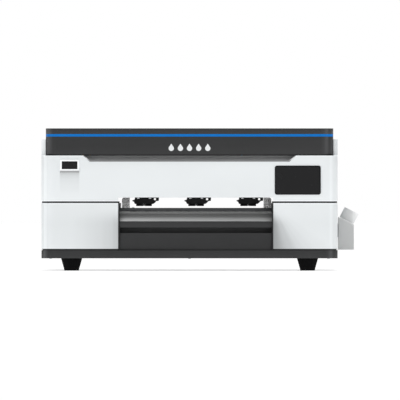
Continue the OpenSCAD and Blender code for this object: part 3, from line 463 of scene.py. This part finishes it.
def ink_colours():
    """The ink bottles' plastic, tinted row by row and column by column, as the inks differ."""
    s = moulded("ink_bottle_plastic", (0.62, 0.62, 0.63), 0.35)
    low, high = corners("ink_bottles")
    column = s.math("FLOOR", s.ramp(s.axis(0), low.x, high.x, 0.0, 3.0))
    row = s.math("FLOOR", s.ramp(s.axis(1), low.y, high.y, 0.0, 3.0))
    magenta = s.mix(s.math("GREATER_THAN", column, 0.5), (0.01, 0.25, 0.42), (0.42, 0.01, 0.12))
    yellow = s.mix(s.math("GREATER_THAN", column, 1.5), magenta, (0.62, 0.44, 0.02))
    middle = s.math("MULTIPLY", s.math("GREATER_THAN", column, 0.5), s.math("LESS_THAN", column, 1.5))
    spare = s.mix(middle, (0.02, 0.02, 0.022), (0.70, 0.71, 0.72))
    s.colour(s.mix(s.math("GREATER_THAN", row, 1.5), yellow, spare))
    return s


def inked(name, colour):
    """Thin clear tube filled with one ink."""
    return moulded(name, colour, 0.22, spread=0.08)


def display_glass():
    """Dark glass border of the panels, with a few wiping marks."""
    s = Surface("display_glass", (0.008, 0.008, 0.009), 0.14, Specular_IOR_Level=0.14)
    s.roughness(s.ramp(s.noise(45.0, 5.0), 0.35, 0.75, 0.10, 0.22))
    s.colour(s.mix(s.noise(30.0, 4.0, offset=2.0), (0.006, 0.006, 0.007), (0.010, 0.010, 0.011)))
    return s


def screen_face():
    """The panels' lit area, switched off: a little greyer than the glass round it."""
    s = Surface("screen_face", (0.013, 0.013, 0.014), 0.24, Specular_IOR_Level=0.14)
    s.roughness(s.ramp(s.noise(38.0, 4.0), 0.35, 0.7, 0.20, 0.30))
    s.colour(s.mix(s.noise(14.0, 3.0, offset=7.0), (0.0120, 0.0120, 0.0128), (0.0140, 0.0140, 0.0148)))
    s.bump(s.noise(260.0, 2.0), 0.00003, 0.3)
    return s


def bottle_plastic():
    """Milky blow-moulded plastic of the waste bottle."""
    s = Surface("bottle_plastic", (0.66, 0.67, 0.67), 0.45, Transmission_Weight=0.3, IOR=1.45)
    s.colour(s.mix(s.noise(25.0, 3.0), (0.64, 0.65, 0.65), (0.70, 0.71, 0.71)))
    s.roughness(s.ramp(s.noise(400.0, 3.0), 0.3, 0.7, 0.38, 0.52))
    s.bump(s.noise(150.0, 2.0), 0.0003, 0.4)
    return s


def finish_materials():
    """Every finish by name. A CAD node's material slot names its finish, except in finish_of."""
    made = {
        "white_coating": coated("white_coating", WHITE, 0.42, spread=0.012),
        "black_coating": coated("black_coating", (0.012, 0.012, 0.013), 0.5, spread=0.15),
        "foot_rubber": rubbery("foot_rubber", (0.0040, 0.0040, 0.0043), 0.9, 1.4, 0.12),
        "zinc_steel": brushed("zinc_steel", (0.50, 0.51, 0.53), 0.36, along=2),
        "gasket_rubber": rubbery("gasket_rubber", (0.006, 0.006, 0.007)),
        "grey_plastic": moulded("grey_plastic", (0.33, 0.335, 0.34), 0.55),
        "white_plastic": moulded("white_plastic", (0.78, 0.80, 0.81), 0.4, spread=0.015),
        "platen_metal": brushed("platen_metal", (0.075, 0.078, 0.08), 0.4, along=0),
        "cover_coating": cover_coating(),
        "pan_coating": pan_coating(),
        "grip_plastic": grip_plastic(),
        "clear_plastic": moulded("clear_plastic", (0.74, 0.75, 0.75), 0.3, spread=0.02),
        "screen_face": screen_face(),
        "cyan_ink": inked("cyan_ink", (0.01, 0.22, 0.38)),
        "magenta_ink": inked("magenta_ink", (0.36, 0.01, 0.10)),
        "yellow_ink": inked("yellow_ink", (0.58, 0.40, 0.02)),
        "black_ink": inked("black_ink", (0.012, 0.012, 0.014)),
        "white_ink": inked("white_ink", (0.70, 0.71, 0.72)),
        "copper_wire": moulded("copper_wire", (0.30, 0.02, 0.015), 0.4),
        "apron_metal": apron_metal(),
        "guide_casting": speckled(),
        "bare_aluminium": brushed("bare_aluminium", (0.62, 0.63, 0.65), 0.34, along=0),
        "ground_steel": brushed("ground_steel", (0.66, 0.67, 0.69), 0.18, along=0, lines=1500.0),
        "belt_rubber": rubbery("belt_rubber", (0.008, 0.008, 0.008), 0.6),
        "film_strip": graduated_film(),
        "black_plastic": moulded("black_plastic", (0.010, 0.010, 0.011), 0.45),
        "roller_coating": banded_roller(),
        "ink_bottle_plastic": ink_colours(),
        "circuit_board": moulded("circuit_board", (0.008, 0.10, 0.05), 0.3),
        "blue_plastic": moulded("blue_plastic", (0.002, 0.160, 0.535), 0.4, spread=0.03, specular=0.12),
        "lid_plastic": lid_paint(),
        "shell_coating": shell_coating(),
        "fascia_coating": fascia_coating(),
        "bezel_plastic": bezel_plastic(),
        "cap_plastic": cap_plastic(),
        "red_plastic": moulded("red_plastic", (0.42, 0.01, 0.01), 0.25),
        "lamp_aluminium": brushed("lamp_aluminium", (0.13, 0.135, 0.15), 0.4, along=2),
        "display_glass": display_glass(),
        "bottle_plastic": bottle_plastic(),
    }
    return {name: surface.material for name, surface in made.items()}


materials = finish_materials()
slot_of = {part["node"]: part["material_slot"] for part in frame["record"]["subparts"]}
finish_of = {"grip_recess": "grip_plastic", "lower_left_cover": "cover_coating",
             "lower_right_cover": "cover_coating", "upper_shell": "shell_coating",
             "status_bezel": "bezel_plastic", "waste_cap": "cap_plastic",
             "front_lower_cover": "fascia_coating", "base_pan": "pan_coating"}
for name, obj in nodes.items():
    obj.data.materials.clear()
    obj.data.materials.append(materials[finish_of.get(name, slot_of[name])])


# ------------------------------------------------------------------ shape helpers

def soften(name, width):
    """Rounds a CAD node's sharp edges by a fraction of a millimetre, as real edges are."""
    obj = nodes[name]
    weld = obj.modifiers.new("weld", "WELD")
    weld.merge_threshold = 0.00001
    flat = obj.modifiers.new("flat", "DECIMATE")
    flat.decimate_type = "DISSOLVE"
    flat.angle_limit = math.radians(1.0)
    bevel = obj.modifiers.new("bevel", "BEVEL")
    bevel.width = width
    bevel.segments = 3
    bevel.limit_method = "ANGLE"
    bevel.angle_limit = EDGE_ANGLE
    bevel.harden_normals = True
    for polygon in obj.data.polygons:
        polygon.use_smooth = True


SOFT_EDGES = {
    "lid": 0.8, "upper_shell": 0.5, "lower_left_cover": 0.5, "lower_right_cover": 0.5,
    "base_pan": 0.8, "front_lower_cover": 0.7, "front_apron": 0.5, "vacuum_platen": 0.4,
    "display_glass": 0.4, "status_bezel": 0.4, "film_guides": 0.6, "rubber_feet": 0.3,
}
for name, millimetres in SOFT_EDGES.items():
    soften(name, millimetres * MM)


class Shape:
    """Closed bodies drawn in body millimetres and made into one piece."""

    def __init__(self):
        self.mesh = bmesh.new()

    def block(self, low, high, bevel=0.3, place=Matrix.Identity(4)):
        """Box between two corners, with its edges bevelled."""
        verts = bmesh.ops.create_cube(self.mesh, size=1.0)["verts"]
        for vert in verts:
            vert.co = place @ Vector(l + (h - l) * (c + 0.5) for l, h, c in zip(low, high, vert.co))
        if bevel:
            edges = list(dict.fromkeys(edge for vert in verts for edge in vert.link_edges))
            bmesh.ops.bevel(self.mesh, geom=edges, offset=bevel, segments=2, profile=0.5,
                            affect="EDGES", clamp_overlap=True)

    def rings(self, rings):
        """Skin over rings of vertices, closed at both ends; a ring of one vertex is a point."""
        for below, above in zip(rings, rings[1:]):
            count = max(len(below), len(above))
            for i in range(count):
                j = (i + 1) % count
                face = list(dict.fromkeys((below[i % len(below)], below[j % len(below)],
                                           above[j % len(above)], above[i % len(above)])))
                if len(face) > 2:
                    self.mesh.faces.new(face)
        for ring in (rings[0], rings[-1]):
            if len(ring) > 2:
                self.mesh.faces.new(ring)

    def lathe(self, profile, place, sides=24, ribs=0, rib_depth=0.0):
        """Turned body from (radius, height) points; a third value makes that ring a hexagon.

        Ribs are shallow waves round the body, rib_depth from crest to trough.
        """
        rings = []
        for radius, height, *hexed in profile:
            if radius == 0:
                rings.append([self.mesh.verts.new(place @ Vector((0, 0, height)))])
                continue
            ring = []
            for i in range(sides):
                angle = 2 * math.pi * i / sides
                reach = radius
                if hexed:
                    reach *= math.cos(math.pi / 6) / math.cos(angle % (math.pi / 3) - math.pi / 6)
                if ribs:
                    reach -= rib_depth * (0.5 + 0.5 * math.cos(ribs * angle))
                ring.append(self.mesh.verts.new(
                    place @ Vector((reach * math.cos(angle), reach * math.sin(angle), height))))
            rings.append(ring)
        self.rings(rings)

    def tube(self, points, radius, sides=10):
        """Round tube along points, with closed ends."""
        points = [Vector(point) for point in points]
        across = None
        rings = []
        for i, point in enumerate(points):
            ahead = (points[min(i + 1, len(points) - 1)] - points[max(i - 1, 0)]).normalized()
            if across is None:
                across = ahead.orthogonal().normalized()
            across = (across - ahead * across.dot(ahead)).normalized()
            upward = ahead.cross(across)
            rings.append([self.mesh.verts.new(
                point + radius * (math.cos(2 * math.pi * k / sides) * across
                                  + math.sin(2 * math.pi * k / sides) * upward)) for k in range(sides)])
        self.rings(rings)

    def make(self, name, finish, body):
        """Ends the drawing: one named piece with its finish and the body it rides on."""
        for vert in self.mesh.verts:
            vert.co = at(*vert.co)
        bmesh.ops.recalc_face_normals(self.mesh, faces=self.mesh.faces)
        data = bpy.data.meshes.new(name)
        self.mesh.to_mesh(data)
        self.mesh.free()
        for polygon in data.polygons:
            polygon.use_smooth = True
        data.set_sharp_from_angle(angle=EDGE_ANGLE)
        data.materials.append(materials[finish])
        piece = bpy.data.objects.new(name, data)
        bpy.context.scene.collection.objects.link(piece)
        if body:
            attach(piece, body)
        return piece


def facing(point, direction):
    """Matrix that puts a turned body's axis along a direction, from a point."""
    return Matrix.Translation(point) @ Vector(direction).to_track_quat("Z", "Y").to_matrix().to_4x4()


def smooth_path(points, steps=8):
    """Catmull-Rom curve through the points."""
    points = [Vector(point) for point in points]
    ends = [2 * points[0] - points[1], *points, 2 * points[-1] - points[-2]]
    path = []
    for a, b, c, d in zip(ends, ends[1:], ends[2:], ends[3:]):
        for k in range(steps):
            t = k / steps
            path.append(0.5 * (2 * b + (c - a) * t + (2 * a - 5 * b + 4 * c - d) * t ** 2
                               + (3 * b - a - 3 * c + d) * t ** 3))
    return path + [points[-1]]


def screw(shape, point, direction, radius=3.0, height=1.6, sunk=0.6):
    """Button head with a hexagon socket."""
    shape.lathe([(0, -sunk), (radius, -sunk), (radius, height * 0.35), (radius * 0.93, height * 0.68),
                 (radius * 0.78, height * 0.92), (radius * 0.60, height), (radius * 0.52, height, "hex"),
                 (radius * 0.50, height * 0.45, "hex"), (0, height * 0.35)], facing(point, direction))


def screws(name, points, direction, body, finish="zinc_steel", radius=3.0, height=1.6):
    """One piece made of equal screws."""
    shape = Shape()
    for point in points:
        screw(shape, point, direction, radius, height)
    return shape.make(name, finish, body)


# ------------------------------------------------------------------ fasteners

def add_fasteners():
    """Screws of the rear panel, shell, hinges and pan, and the bolts of the beam and its rail."""
    low, high = box_of("rear_panel")
    screws("rear_panel_screws", [(x, high.y, z) for x, z in
                                 [(x, low.z + 7) for x in (-356, -178, 0, 178, 356)]
                                 + [(x, high.z - 7) for x in (-356, -290, 290, 356)]],
           (0, 1, 0), "body", "black_coating")
    low, high = box_of("upper_shell")
    screws("shell_rear_screws", [(x, high.y - 0.05, low.z + 20) for x in (-345, -240, 260, 345)],
           (0, 1, 0), "body", "black_coating")
    base_low, base_high = box_of("lid_hinge_base")
    leaf_high = box_of("lid_hinge_leaf")[1]
    hinge_x = (base_low.x + 25, base_high.x - 25)
    plate_y = high.y + 1.8
    screws("hinge_base_screws", [(x + dx, plate_y, base_low.z + 9) for x in hinge_x for dx in (-16, 16)],
           (0, 1, 0), "body", height=1.2)
    screws("hinge_leaf_screws", [(x + dx, plate_y, leaf_high.z - 9) for x in hinge_x for dx in (-16, 16)],
           (0, 1, 0), "lid", height=1.2)
    low, high = box_of("base_pan")
    screws("pan_screws", [(x, y, low.z) for x in (-366, 0, 366) for y in (-256, 256)]
           + [(x, 0, low.z) for x in (-366, 366)], (0, 0, -1), "body", radius=3.6)
    low, high = box_of("gantry_posts")
    shape = Shape()
    for side in (-1, 1):
        for y in (58, 92):
            for z in (high.z - 16, high.z - 46):
                screw(shape, (side * high.x, y, z), (side, 0, 0), 3.6, 2.2)
    shape.make("beam_end_bolts", "zinc_steel", "body")
    low, high = box_of("linear_rail")
    shape = Shape()
    for i in range(12):
        x = low.x + 28 + i * (high.x - low.x - 56) / 11
        screw(shape, (x, low.y, (low.z + high.z) / 2), (0, -1, 0), 3.4, 0.15, 0.4)
    shape.make("rail_bolts", "black_coating", "body")


def roller_centres():
    """The middles of the three pinch rollers."""
    for side in ("left", "middle", "right"):
        low, high = box_of("pinch_roller_" + side)
        yield (low + high) / 2


def add_pinch_details():
    """Clamp screws of the three pinch units, and the small studs on the platen's front edge."""
    screw_y = box_of("pinch_arms")[0].y + 2
    shape = Shape()
    for middle in roller_centres():
        for dx in (-15.5, 15.5):
            screw(shape, (middle.x + dx, screw_y, middle.z + 16.6), (0, -1, 0), 4.3, 1.9)
    shape.make("pinch_screws", "ground_steel", "pinch_shaft")
    low, high = box_of("vacuum_platen")
    shape = Shape()
    for x in (low.x + 35, high.x - 20):
        shape.lathe([(0, -0.5), (4.2, -0.5), (4.2, 0.6), (3.6, 1.3), (2.2, 1.7), (0, 1.8)],
                    facing((x, low.y + 9, high.z), (0, 0, 1)))
    shape.make("platen_marks", "clear_plastic", "body")


# ------------------------------------------------------------------ front and rear details

def rounded_plate(shape, low, high, radius, steps=6):
    """Flat plate with rounded corners, standing in X and Z."""
    outline = []
    for cx, cz, start in ((high[0] - radius, high[2] - radius, 0), (low[0] + radius, high[2] - radius, 90),
                          (low[0] + radius, low[2] + radius, 180), (high[0] - radius, low[2] + radius, 270)):
        for k in range(steps + 1):
            angle = math.radians(start + 90 * k / steps)
            outline.append((cx + radius * math.cos(angle), cz + radius * math.sin(angle)))
    shape.rings([[shape.mesh.verts.new((x, y, z)) for x, z in outline] for y in (low[1], high[1])])


def add_screens():
    """The lit area of the touch panel and of the status window, behind their dark borders."""
    low, high = box_of("display_glass")
    front = low.y
    touch_w, touch_h = 121.0, 76.4
    side_border, end_border = 4.0, 3.6
    shape = Shape()
    rounded_plate(shape, (high.x - touch_w + side_border, front - 0.12, low.z + end_border),
                  (high.x - side_border, front + 0.4, low.z + touch_h - end_border), 3.5)
    shape.make("touch_screen", "screen_face", "body")
    bezel_low, bezel_high = box_of("status_bezel")
    middle_x = (bezel_low.x + bezel_high.x) / 2
    middle_z = high.z - 9.9
    half_w, half_h = 17.6, 7.6
    shape = Shape()
    rounded_plate(shape, (middle_x - half_w, front + 0.28, middle_z - half_h),
                  (middle_x + half_w, front + 0.9, middle_z + half_h), 1.2)
    shape.make("status_screen", "screen_face", "body")


def add_rear_details():
    """Blank rating plate with its four rivets, and the tongues inside the two data sockets."""
    low, high = box_of("rear_panel")
    sockets_low = box_of("rear_sockets")[0]
    plate_x, plate_z = 110.0, low.z + 42
    half_w, half_h = 34, 19
    shape = Shape()
    rounded_plate(shape, (plate_x - half_w, high.y - 0.4, plate_z - half_h),
                  (plate_x + half_w, high.y + 0.5, plate_z + half_h), 3.0)
    for dx in (-30, 30):
        for dz in (-15, 15):
            shape.lathe([(0, 0), (1.6, 0), (1.5, 0.7), (0.8, 1.1), (0, 1.15)],
                        facing((plate_x + dx, high.y, plate_z + dz), (0, 1, 0)), 12)
    shape.make("rating_plate", "bare_aluminium", "body")
    shape = Shape()
    for x in (sockets_low.x + 7.4, sockets_low.x + 23.8):
        shape.block((x - 3.6, high.y - 13, sockets_low.z + 9),
                    (x + 3.6, high.y - 3, sockets_low.z + 10.6), 0.3)
    shape.make("data_socket_tongues", "white_plastic", "body")


def add_belt_teeth():
    """Teeth on the inner side of the belt's two straight runs."""
    low, high = box_of("carriage_belt")
    thickness, turn_length, pitch = 1.6, 12, 4.0
    inner_low, inner_high = low.z + thickness, high.z - thickness
    start, end = low.x + turn_length, high.x - turn_length
    shape = Shape()
    for i in range(int((end - start) / pitch)):
        x = start + i * pitch
        for z0, z1 in ((inner_low - 0.1, inner_low + 0.55), (inner_high - 0.55, inner_high + 0.1)):
            shape.block((x, low.y + 0.6, z0), (x + 1.9, high.y - 0.6, z1), 0)
    shape.make("belt_teeth", "belt_rubber", "body")


# ------------------------------------------------------------------ ink tubes and wiring

INKS = ("cyan_ink", "magenta_ink", "yellow_ink", "black_ink", "white_ink")
TUBE_R = 1.9
LOOP_TOP = 344.0


def add_ink_tubes():
    """Supply tubes from the two rear rows of bottles along the beam, and the loops to the carriage."""
    caps_low, caps_high = box_of("ink_bottle_caps")
    beam_low, beam_high = box_of("gantry_beam")
    cover_low, cover_high = box_of("carriage_cover")
    anchor_x = 85.0
    pitch = 34.0
    for k, ink in enumerate(INKS):
        cap_x = caps_low.x + 9.5 + (k % 3) * pitch
        cap_y = caps_high.y - 9.5 - (1 - k // 3) * pitch
        lane_y = beam_low.y + 24 + k * 6.0
        lane_z = beam_high.z + TUBE_R + 0.3
        shape = Shape()
        shape.tube(smooth_path([(cap_x, cap_y, caps_high.z - 2), (cap_x, cap_y, caps_high.z + 12),
                                (cap_x + 6, cap_y + 22, caps_high.z + 22 + k),
                                (cap_x + 30, lane_y - 20, caps_high.z + 14 - k),
                                (cap_x + 70, lane_y, lane_z + 14), (cap_x + 110, lane_y, lane_z),
                                (-80, lane_y, lane_z), (0, lane_y, lane_z),
                                (anchor_x + 6, lane_y, lane_z)]), TUBE_R)
        shape.make("supply_tube_%d" % (k + 1), ink, "body")
        end_x, end_y, end_z = cover_low.x + 24, cover_high.y - 12 - k * 6.0, cover_high.z
        shape = Shape()
        shape.tube(smooth_path([(anchor_x + 2, lane_y, lane_z), (anchor_x + 18, lane_y, lane_z + 4),
                                (anchor_x + 52, lane_y - 12, LOOP_TOP - 40),
                                ((anchor_x + end_x) / 2, (lane_y + end_y) / 2, LOOP_TOP - k * 1.5),
                                (end_x - 34, end_y + 9, LOOP_TOP - 22), (end_x - 7, end_y + 1, end_z + 20),
                                (end_x, end_y, end_z + 9), (end_x, end_y, end_z - 1)], 12), TUBE_R)
        loop = shape.make("carriage_tube_%d" % (k + 1), ink, None)
        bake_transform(loop)
    shape = Shape()
    shape.block((anchor_x - 5, beam_low.y + 20, beam_high.z),
                (anchor_x + 5, beam_low.y + 52, beam_high.z + 8), 1.2)
    for y in (beam_low.y + 16.5, beam_low.y + 55.5):
        shape.block((anchor_x - 5, y - 3.5, beam_high.z), (anchor_x + 5, y + 3.5, beam_high.z + 2), 0.6)
    shape.make("tube_clamp_beam", "black_plastic", "body")
    shape = Shape()
    shape.block((cover_low.x + 18, cover_high.y - 42, cover_high.z - 0.2),
                (cover_low.x + 30, cover_high.y - 6, cover_high.z + 5), 1.2)
    shape.make("tube_clamp_carriage", "black_plastic", "carriage")


def add_cover_details():
    """Louvres on top of the carriage cover."""
    low, high = box_of("carriage_cover")
    shape = Shape()
    for i in range(7):
        x = high.x - 14 - i * 7
        shape.block((x - 4.2, low.y + 8, high.z - 0.3), (x, low.y + 36, high.z + 1.1), 0.5)
    shape.make("carriage_louvres", "black_plastic", "carriage")


def add_bottle_details():
    """The waste bottle's slanted shoulder rim and the ribs of its cap."""
    low, high = box_of("waste_bottle")
    joint = next(j for j in frame["joints"] if j["name"] == "cap_turn")
    axis = Vector(joint["axis"])
    base = (Vector(joint["pos_m"]) - MIDDLE) / MM
    turn = Matrix.Rotation(math.atan2(axis.x, axis.z), 4, "Y")
    place = Matrix.Translation(base) @ turn
    shape = Shape()
    shape.block((low.x - base.x + 3.2, low.y - base.y - 0.25, -3.6), (20.2, high.y - base.y + 0.25, -0.4),
                1.0, place)
    shape.make("bottle_shoulder_rim", "clear_plastic", "waste_bottle")
    cap_r, cap_h = 20.4, 25.4
    shape = Shape()
    shape.lathe([(0, 1.0), (cap_r + 0.35, 1.0), (cap_r + 0.5, 1.8), (cap_r + 0.5, cap_h - 1),
                 (cap_r + 0.2, cap_h), (0, cap_h)], place, sides=240, ribs=48, rib_depth=0.55)
    shape.make("cap_ribs", "cap_plastic", "waste_cap")


def add_lid_details():
    """Stiffening ribs under the lid."""
    low, high = box_of("lid")
    under = high.z - 3.0
    shape = Shape()
    for x in (-250, -125, 0, 125, 250):
        shape.block((x - 1.2, low.y + 14, under - 8), (x + 1.2, high.y - 14, under + 0.4), 0.4)
    for y in (-180, 180):
        shape.block((low.x + 14, y - 1.2, under - 6), (high.x - 14, y + 1.2, under + 0.4), 0.4)
    shape.make("lid_ribs", "lid_plastic", "lid")


def add_board_parts():
    """Capacitors and a finned heat sink on the main board, and the supply's terminals and louvres."""
    face_height = 15.6
    top = box_of("main_board")[0].z + face_height
    shape = Shape()
    for x, y, r, h in ((-212, -190, 6, 18), (-212, -206, 6, 18), (-212, -222, 5, 14), (-352, -186, 5, 12)):
        shape.lathe([(0, -0.5), (r, -0.5), (r, 0.8), (r - 0.5, 1.4), (r, 2.0), (r, h - 0.6), (r - 0.6, h),
                     (r - 1.2, h - 0.3), (0, h - 0.3)], Matrix.Translation((x, y, top)), 20)
    shape.make("board_capacitors", "blue_plastic", "body")
    shape = Shape()
    shape.block((-300, -216, top), (-262, -214, top + 3), 0.3)
    for i in range(8):
        shape.block((-300 + i * 5, -240, top + 3), (-298 + i * 5, -204, top + 16), 0.3)
    shape.block((-302, -242, top + 2.6), (-261, -202, top + 4.2), 0.3)
    shape.make("board_heat_sink", "bare_aluminium", "body")
    low, high = box_of("power_supply")
    terminals = [low.x + 10 + i * 10 for i in range(9)]
    shape = Shape()
    for x in terminals:
        screw(shape, (x, low.y - 3.5, high.z - 18), (0, 0, 1), 2.6, 1.6)
    for x in terminals:
        shape.block((x - 4, low.y - 7, high.z - 30), (x + 4, low.y + 0.5, high.z - 18), 0.6)
    shape.make("supply_terminals", "black_plastic", "body")
    shape = Shape()
    for i in range(14):
        y = low.y + 24 + i * 12
        shape.block((low.x + 12, y, high.z - 0.2), (high.x - 12, y + 5, high.z + 0.9), 0.5)
    shape.make("supply_louvres", "zinc_steel", "body")


def add_wiring():
    """Loom from the power supply to the board."""
    psu_low, psu_high = box_of("power_supply")
    board_low, board_high = box_of("main_board")
    z = psu_high.z - 16
    for k, finish in enumerate(("copper_wire", "belt_rubber", "yellow_ink")):
        x = psu_low.x + 20 + k * 10.0
        shape = Shape()
        shape.tube(smooth_path([(x, psu_low.y - 3, z), (x, psu_low.y - 12, z + 8),
                                (x - 2, psu_low.y - 34, z - 6), (x - 8, psu_low.y - 90, board_low.z + 34),
                                (x - 10, board_high.y + 20, board_low.z + 36),
                                (x - 10, board_high.y - 6, board_low.z + 24)]), 1.4, 8)
        shape.make("supply_wires_%d" % (k + 1), finish, "body")


add_fasteners()
add_pinch_details()
add_screens()
add_rear_details()
add_belt_teeth()
add_ink_tubes()
add_cover_details()
add_bottle_details()
add_lid_details()
add_board_parts()
add_wiring()


# ------------------------------------------------------------------ camera, floor, light

low, high = (Vector(corner) for corner in cad_bounds)
centre = (low + high) / 2
VIEW_HEIGHT = 0.1861
VIEW_WIDTH = 1.0522
VIEW_LEFT = 0.0004
LENS = 1000.0
SENSOR = 36.0


def add_camera():
    """Very long lens straight in front, as the photo has no visible perspective."""
    data = bpy.data.cameras.new("camera")
    data.sensor_width = SENSOR
    data.lens = LENS
    data.clip_end = 120.0
    camera = bpy.data.objects.new("camera", data)
    bpy.context.scene.collection.objects.link(camera)
    distance = VIEW_WIDTH * LENS / SENSOR
    camera.location = (centre.x - VIEW_LEFT, low.y - distance, VIEW_HEIGHT)
    camera.rotation_euler = (math.radians(90), 0, 0)
    bpy.context.scene.camera = camera


def add_floor():
    """Wide pale floor under the machine, level all round so that every side can be seen."""
    half = 60.0
    outline = ((-half, -half), (half, -half), (half, half), (-half, half))
    mesh = bpy.data.meshes.new("floor")
    mesh.from_pydata([(x, y, FLOOR_Z) for x, y in outline], [], [(0, 1, 2, 3)])
    floor = bpy.data.objects.new("floor", mesh)
    s = Surface("floor", (0.93, 0.93, 0.93), 0.7, Emission_Strength=0.55,
                Emission_Color=(1.0, 1.0, 1.0, 1.0))
    s.colour(s.mix(s.noise(2.0, 3.0), (0.92, 0.92, 0.92), (0.94, 0.94, 0.94)))
    mesh.materials.append(s.material)
    bpy.context.scene.collection.objects.link(floor)


def add_area(name, location, size, power, target):
    """Rectangular lamp turned towards a point."""
    data = bpy.data.lights.new(name, "AREA")
    data.shape = "RECTANGLE"
    data.size, data.size_y = size
    data.energy = power
    light = bpy.data.objects.new(name, data)
    light.location = location
    light.rotation_euler = (Vector(target) - Vector(location)).to_track_quat("-Z", "Y").to_euler()
    bpy.context.scene.collection.objects.link(light)


def add_light():
    """White surroundings, brighter below the horizon, with two soft lamps, one from above and two strips."""
    world = bpy.data.worlds.new("studio")
    world.use_nodes = True
    tree = world.node_tree
    background = tree.nodes["Background"]
    background.inputs["Color"].default_value = (1.0, 1.0, 1.0, 1.0)
    split = tree.nodes.new("ShaderNodeSeparateXYZ")
    tree.links.new(tree.nodes.new("ShaderNodeTexCoord").outputs["Generated"], split.inputs[0])
    fade = tree.nodes.new("ShaderNodeMapRange")
    for socket, number in zip(("From Min", "From Max", "To Min", "To Max"), (0.04, 0.09, 1.0, 0.50)):
        fade.inputs[socket].default_value = number
    tree.links.new(split.outputs[2], fade.inputs["Value"])
    tree.links.new(fade.outputs["Result"], background.inputs["Strength"])
    bpy.context.scene.world = world
    add_area("key", (-1.4, -2.6, 2.4), (2.2, 1.6), 13.0, centre)
    add_area("fill", (1.8, -2.4, 1.4), (1.8, 1.4), 6.0, centre)
    add_area("top", (0.0, 0.2, 2.8), (2.4, 2.0), 14.0, centre)
    add_area("right_strip", (2.2, -1.9, 0.6), (0.3, 1.6), 4.0, centre)
    add_area("left_strip", (-2.4, -0.9, 0.6), (0.3, 1.6), 2.5, centre)


add_camera()
add_floor()
add_light()
bpy.context.scene.view_settings.view_transform = "Standard"
